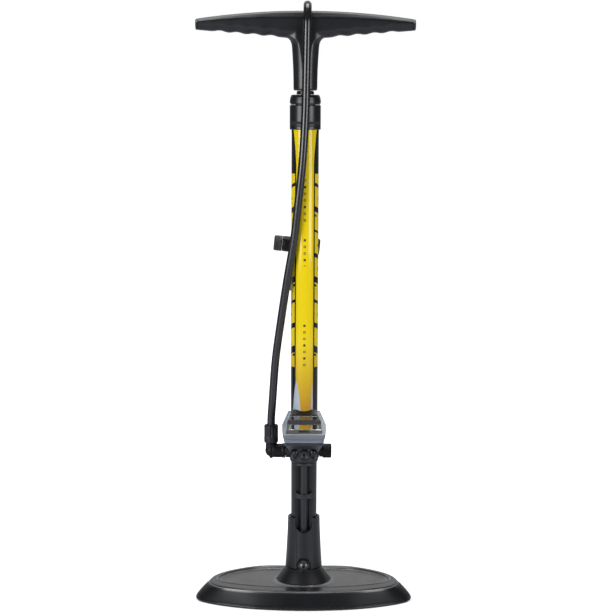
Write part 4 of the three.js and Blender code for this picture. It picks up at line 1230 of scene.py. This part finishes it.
def pump_head():
    pivot, ear_gap = -15.0, 3.9
    pin_line = HEAD @ at(0, 0, pivot) @ ALONG_Y
    head_body(pivot, pin_line, ear_gap)
    head_lever(pivot, pin_line, ear_gap - 0.3)
    presta = rounded([(3.4, -29.5), (8.6, -29.5), (9.7, -28.3), (9.7, -19.1), (6.3, -19.1), (6.3, -26.6),
                      (3.4, -26.6)], 0.3, True, 3)
    knurled_cap("presta_cap", presta, 28, (-28.0, -21.6), 0.45)
    schrader = rounded([(6.3, 21.4), (10.2, 21.4), (10.9, 22.4), (10.9, 26.2), (9.4, 28.6), (4.4, 28.8),
                        (4.4, 27.4), (6.3, 27.4)], 0.6, True, 3)
    knurled_cap("schrader_cap", schrader, 24, (22.4, 26.0), 0.35)
    line = rounded([(5.3, 14), (6.6, 14), (7, 14.8), (7, 29), (6.3, 30), (5.3, 30)], 0.3, True, 3)
    ribs = ridged(16, 0.35, (16.5, 28.5), 1.0, 6.5)
    stand_for(turn("swivel", dense_loop(line, 0.6), True, 192, ribs, HEAD), "hose_swivel", sharp=50)


def head_dock():
    """Clip on the back of the barrel that grips the head."""
    hook = extrude(arc(12.2, 55, 305, 49) + arc(10.1, 305, 55, 49), 8.5, 18.5, "x", HEAD)
    saddle = slab([(-19, -11), (-11.2, -7), (-11.2, 7), (-19, 11)], 1.0, 3.5, 18.5, "x", HEAD)
    fuse(hook, saddle)
    carve(hook, rod_tool(BARREL_R + 0.3, 400, 490, None, 128))
    stand_for(bevel(hook, 0.4, 2, 35), "head_dock")


for build in (base_plate, foot_fasteners, socket_sleeve, column_post, clamp_bolt, valve_spring, hub_body,
              elbow_body, hose_nut, port_plug, barrel_tube, barrel_collar, barrel_cap, handle_body, end_plugs,
              slider_hardware, gauge_housing, gauge_underside, gauge_face, hose, pump_head, head_dock):
    build()


# ---- floor, light and camera ----

def floor():
    """Pale floor that fades to white behind the pump."""
    mesh = bpy.data.meshes.new("floor")
    with editing(mesh) as work:
        bmesh.ops.create_circle(work, cap_ends=True, radius=30.0, segments=96)
    paint = Paint("floor")
    distance = paint.add("ShaderNodeVectorMath", operation="LENGTH")
    paint.feed(distance.inputs[0], paint.place)
    far = paint.span(distance.outputs["Value"], 0.16, 0.42)
    seen = paint.add("ShaderNodeLightPath").outputs["Is Camera Ray"]
    pale = paint.mix(paint.noise(3.0), (0.84, 0.84, 0.84), (0.88, 0.88, 0.88))
    paint.set("Base Color", paint.mix(seen, (0.50, 0.53, 0.59), pale))
    paint.set("Roughness", 0.9)
    paint.set("Specular IOR Level", 0.1)
    paint.set("Emission Color", (1.0, 1.0, 1.0, 1.0))
    shown = paint.times(seen, paint.plus(0.45, paint.times(far, 0.6)))
    hidden = paint.times(paint.minus(1.0, seen), 0.12)
    paint.set("Emission Strength", paint.plus(shown, hidden))
    mesh.materials.append(paint.material)
    new_object("floor", mesh)


def softbox(name, place, target, width, height, radiance):
    light = bpy.data.lights.new(name, "AREA")
    light.shape = "RECTANGLE"
    light.size, light.size_y = width, height
    light.energy = radiance * width * height * math.pi
    obj = new_object(name, light)
    obj.location = place
    obj.rotation_euler = (Vector(target) - Vector(place)).to_track_quat("-Z", "Y").to_euler()
    obj.visible_camera = False


def surroundings():
    """White backdrop for the camera; for reflections a studio, bright behind, darker at the sides."""
    world = bpy.data.worlds.new("studio")
    bpy.context.scene.world = world
    world.use_nodes = True
    sky = Nodes(world.node_tree)
    _, rear, up = sky.axes(sky.add("ShaderNodeTexCoord").outputs["Generated"])
    behind = sky.times(sky.span(rear, 0.35, 0.9, 0.0, 0.55), sky.span(up, 0.06, 0.2))
    studio = sky.plus(behind, sky.span(up, 0.25, 0.9, 0.03, 0.12))
    camera_ray = sky.add("ShaderNodeLightPath").outputs["Is Camera Ray"]
    back = sky.tree.nodes["Background"]
    sky.feed(back.inputs["Strength"], sky.plus(camera_ray, sky.times(sky.minus(1.0, camera_ray), studio)))
    sky.feed(back.inputs["Color"], (1, 1, 1, 1))


def camera():
    """Standing in front of the pump, just below the handle, looking a little down."""
    data = bpy.data.cameras.new("camera")
    data.lens = 99.37
    data.sensor_width = 36.0
    obj = new_object("camera", data)
    obj.location = (0.0024, -2.1015, 0.6283)
    look_down, lean = 6.958, 0.22
    pitch = Matrix.Rotation(math.radians(90 - look_down), 4, "X")
    roll = Matrix.Rotation(math.radians(lean), 4, "Z")
    obj.rotation_euler = (pitch @ roll).to_euler()
    bpy.context.scene.camera = obj


floor()
softbox("left_box", (-1.56, -1.68, 0.85), (0, 0, 0.45), width=1.25, height=1.3, radiance=7.8)
softbox("right_box", (1.66, -1.58, 0.85), (0, 0, 0.45), width=1.05, height=1.3, radiance=6.0)
softbox("top_box", (0, 0.35, 2.4), (0, 0, 0.3), width=1.4, height=1.0, radiance=6.0)
surroundings()
camera()
bpy.context.scene.view_settings.view_transform = "Standard"
bpy.context.scene.view_settings.look = "None"
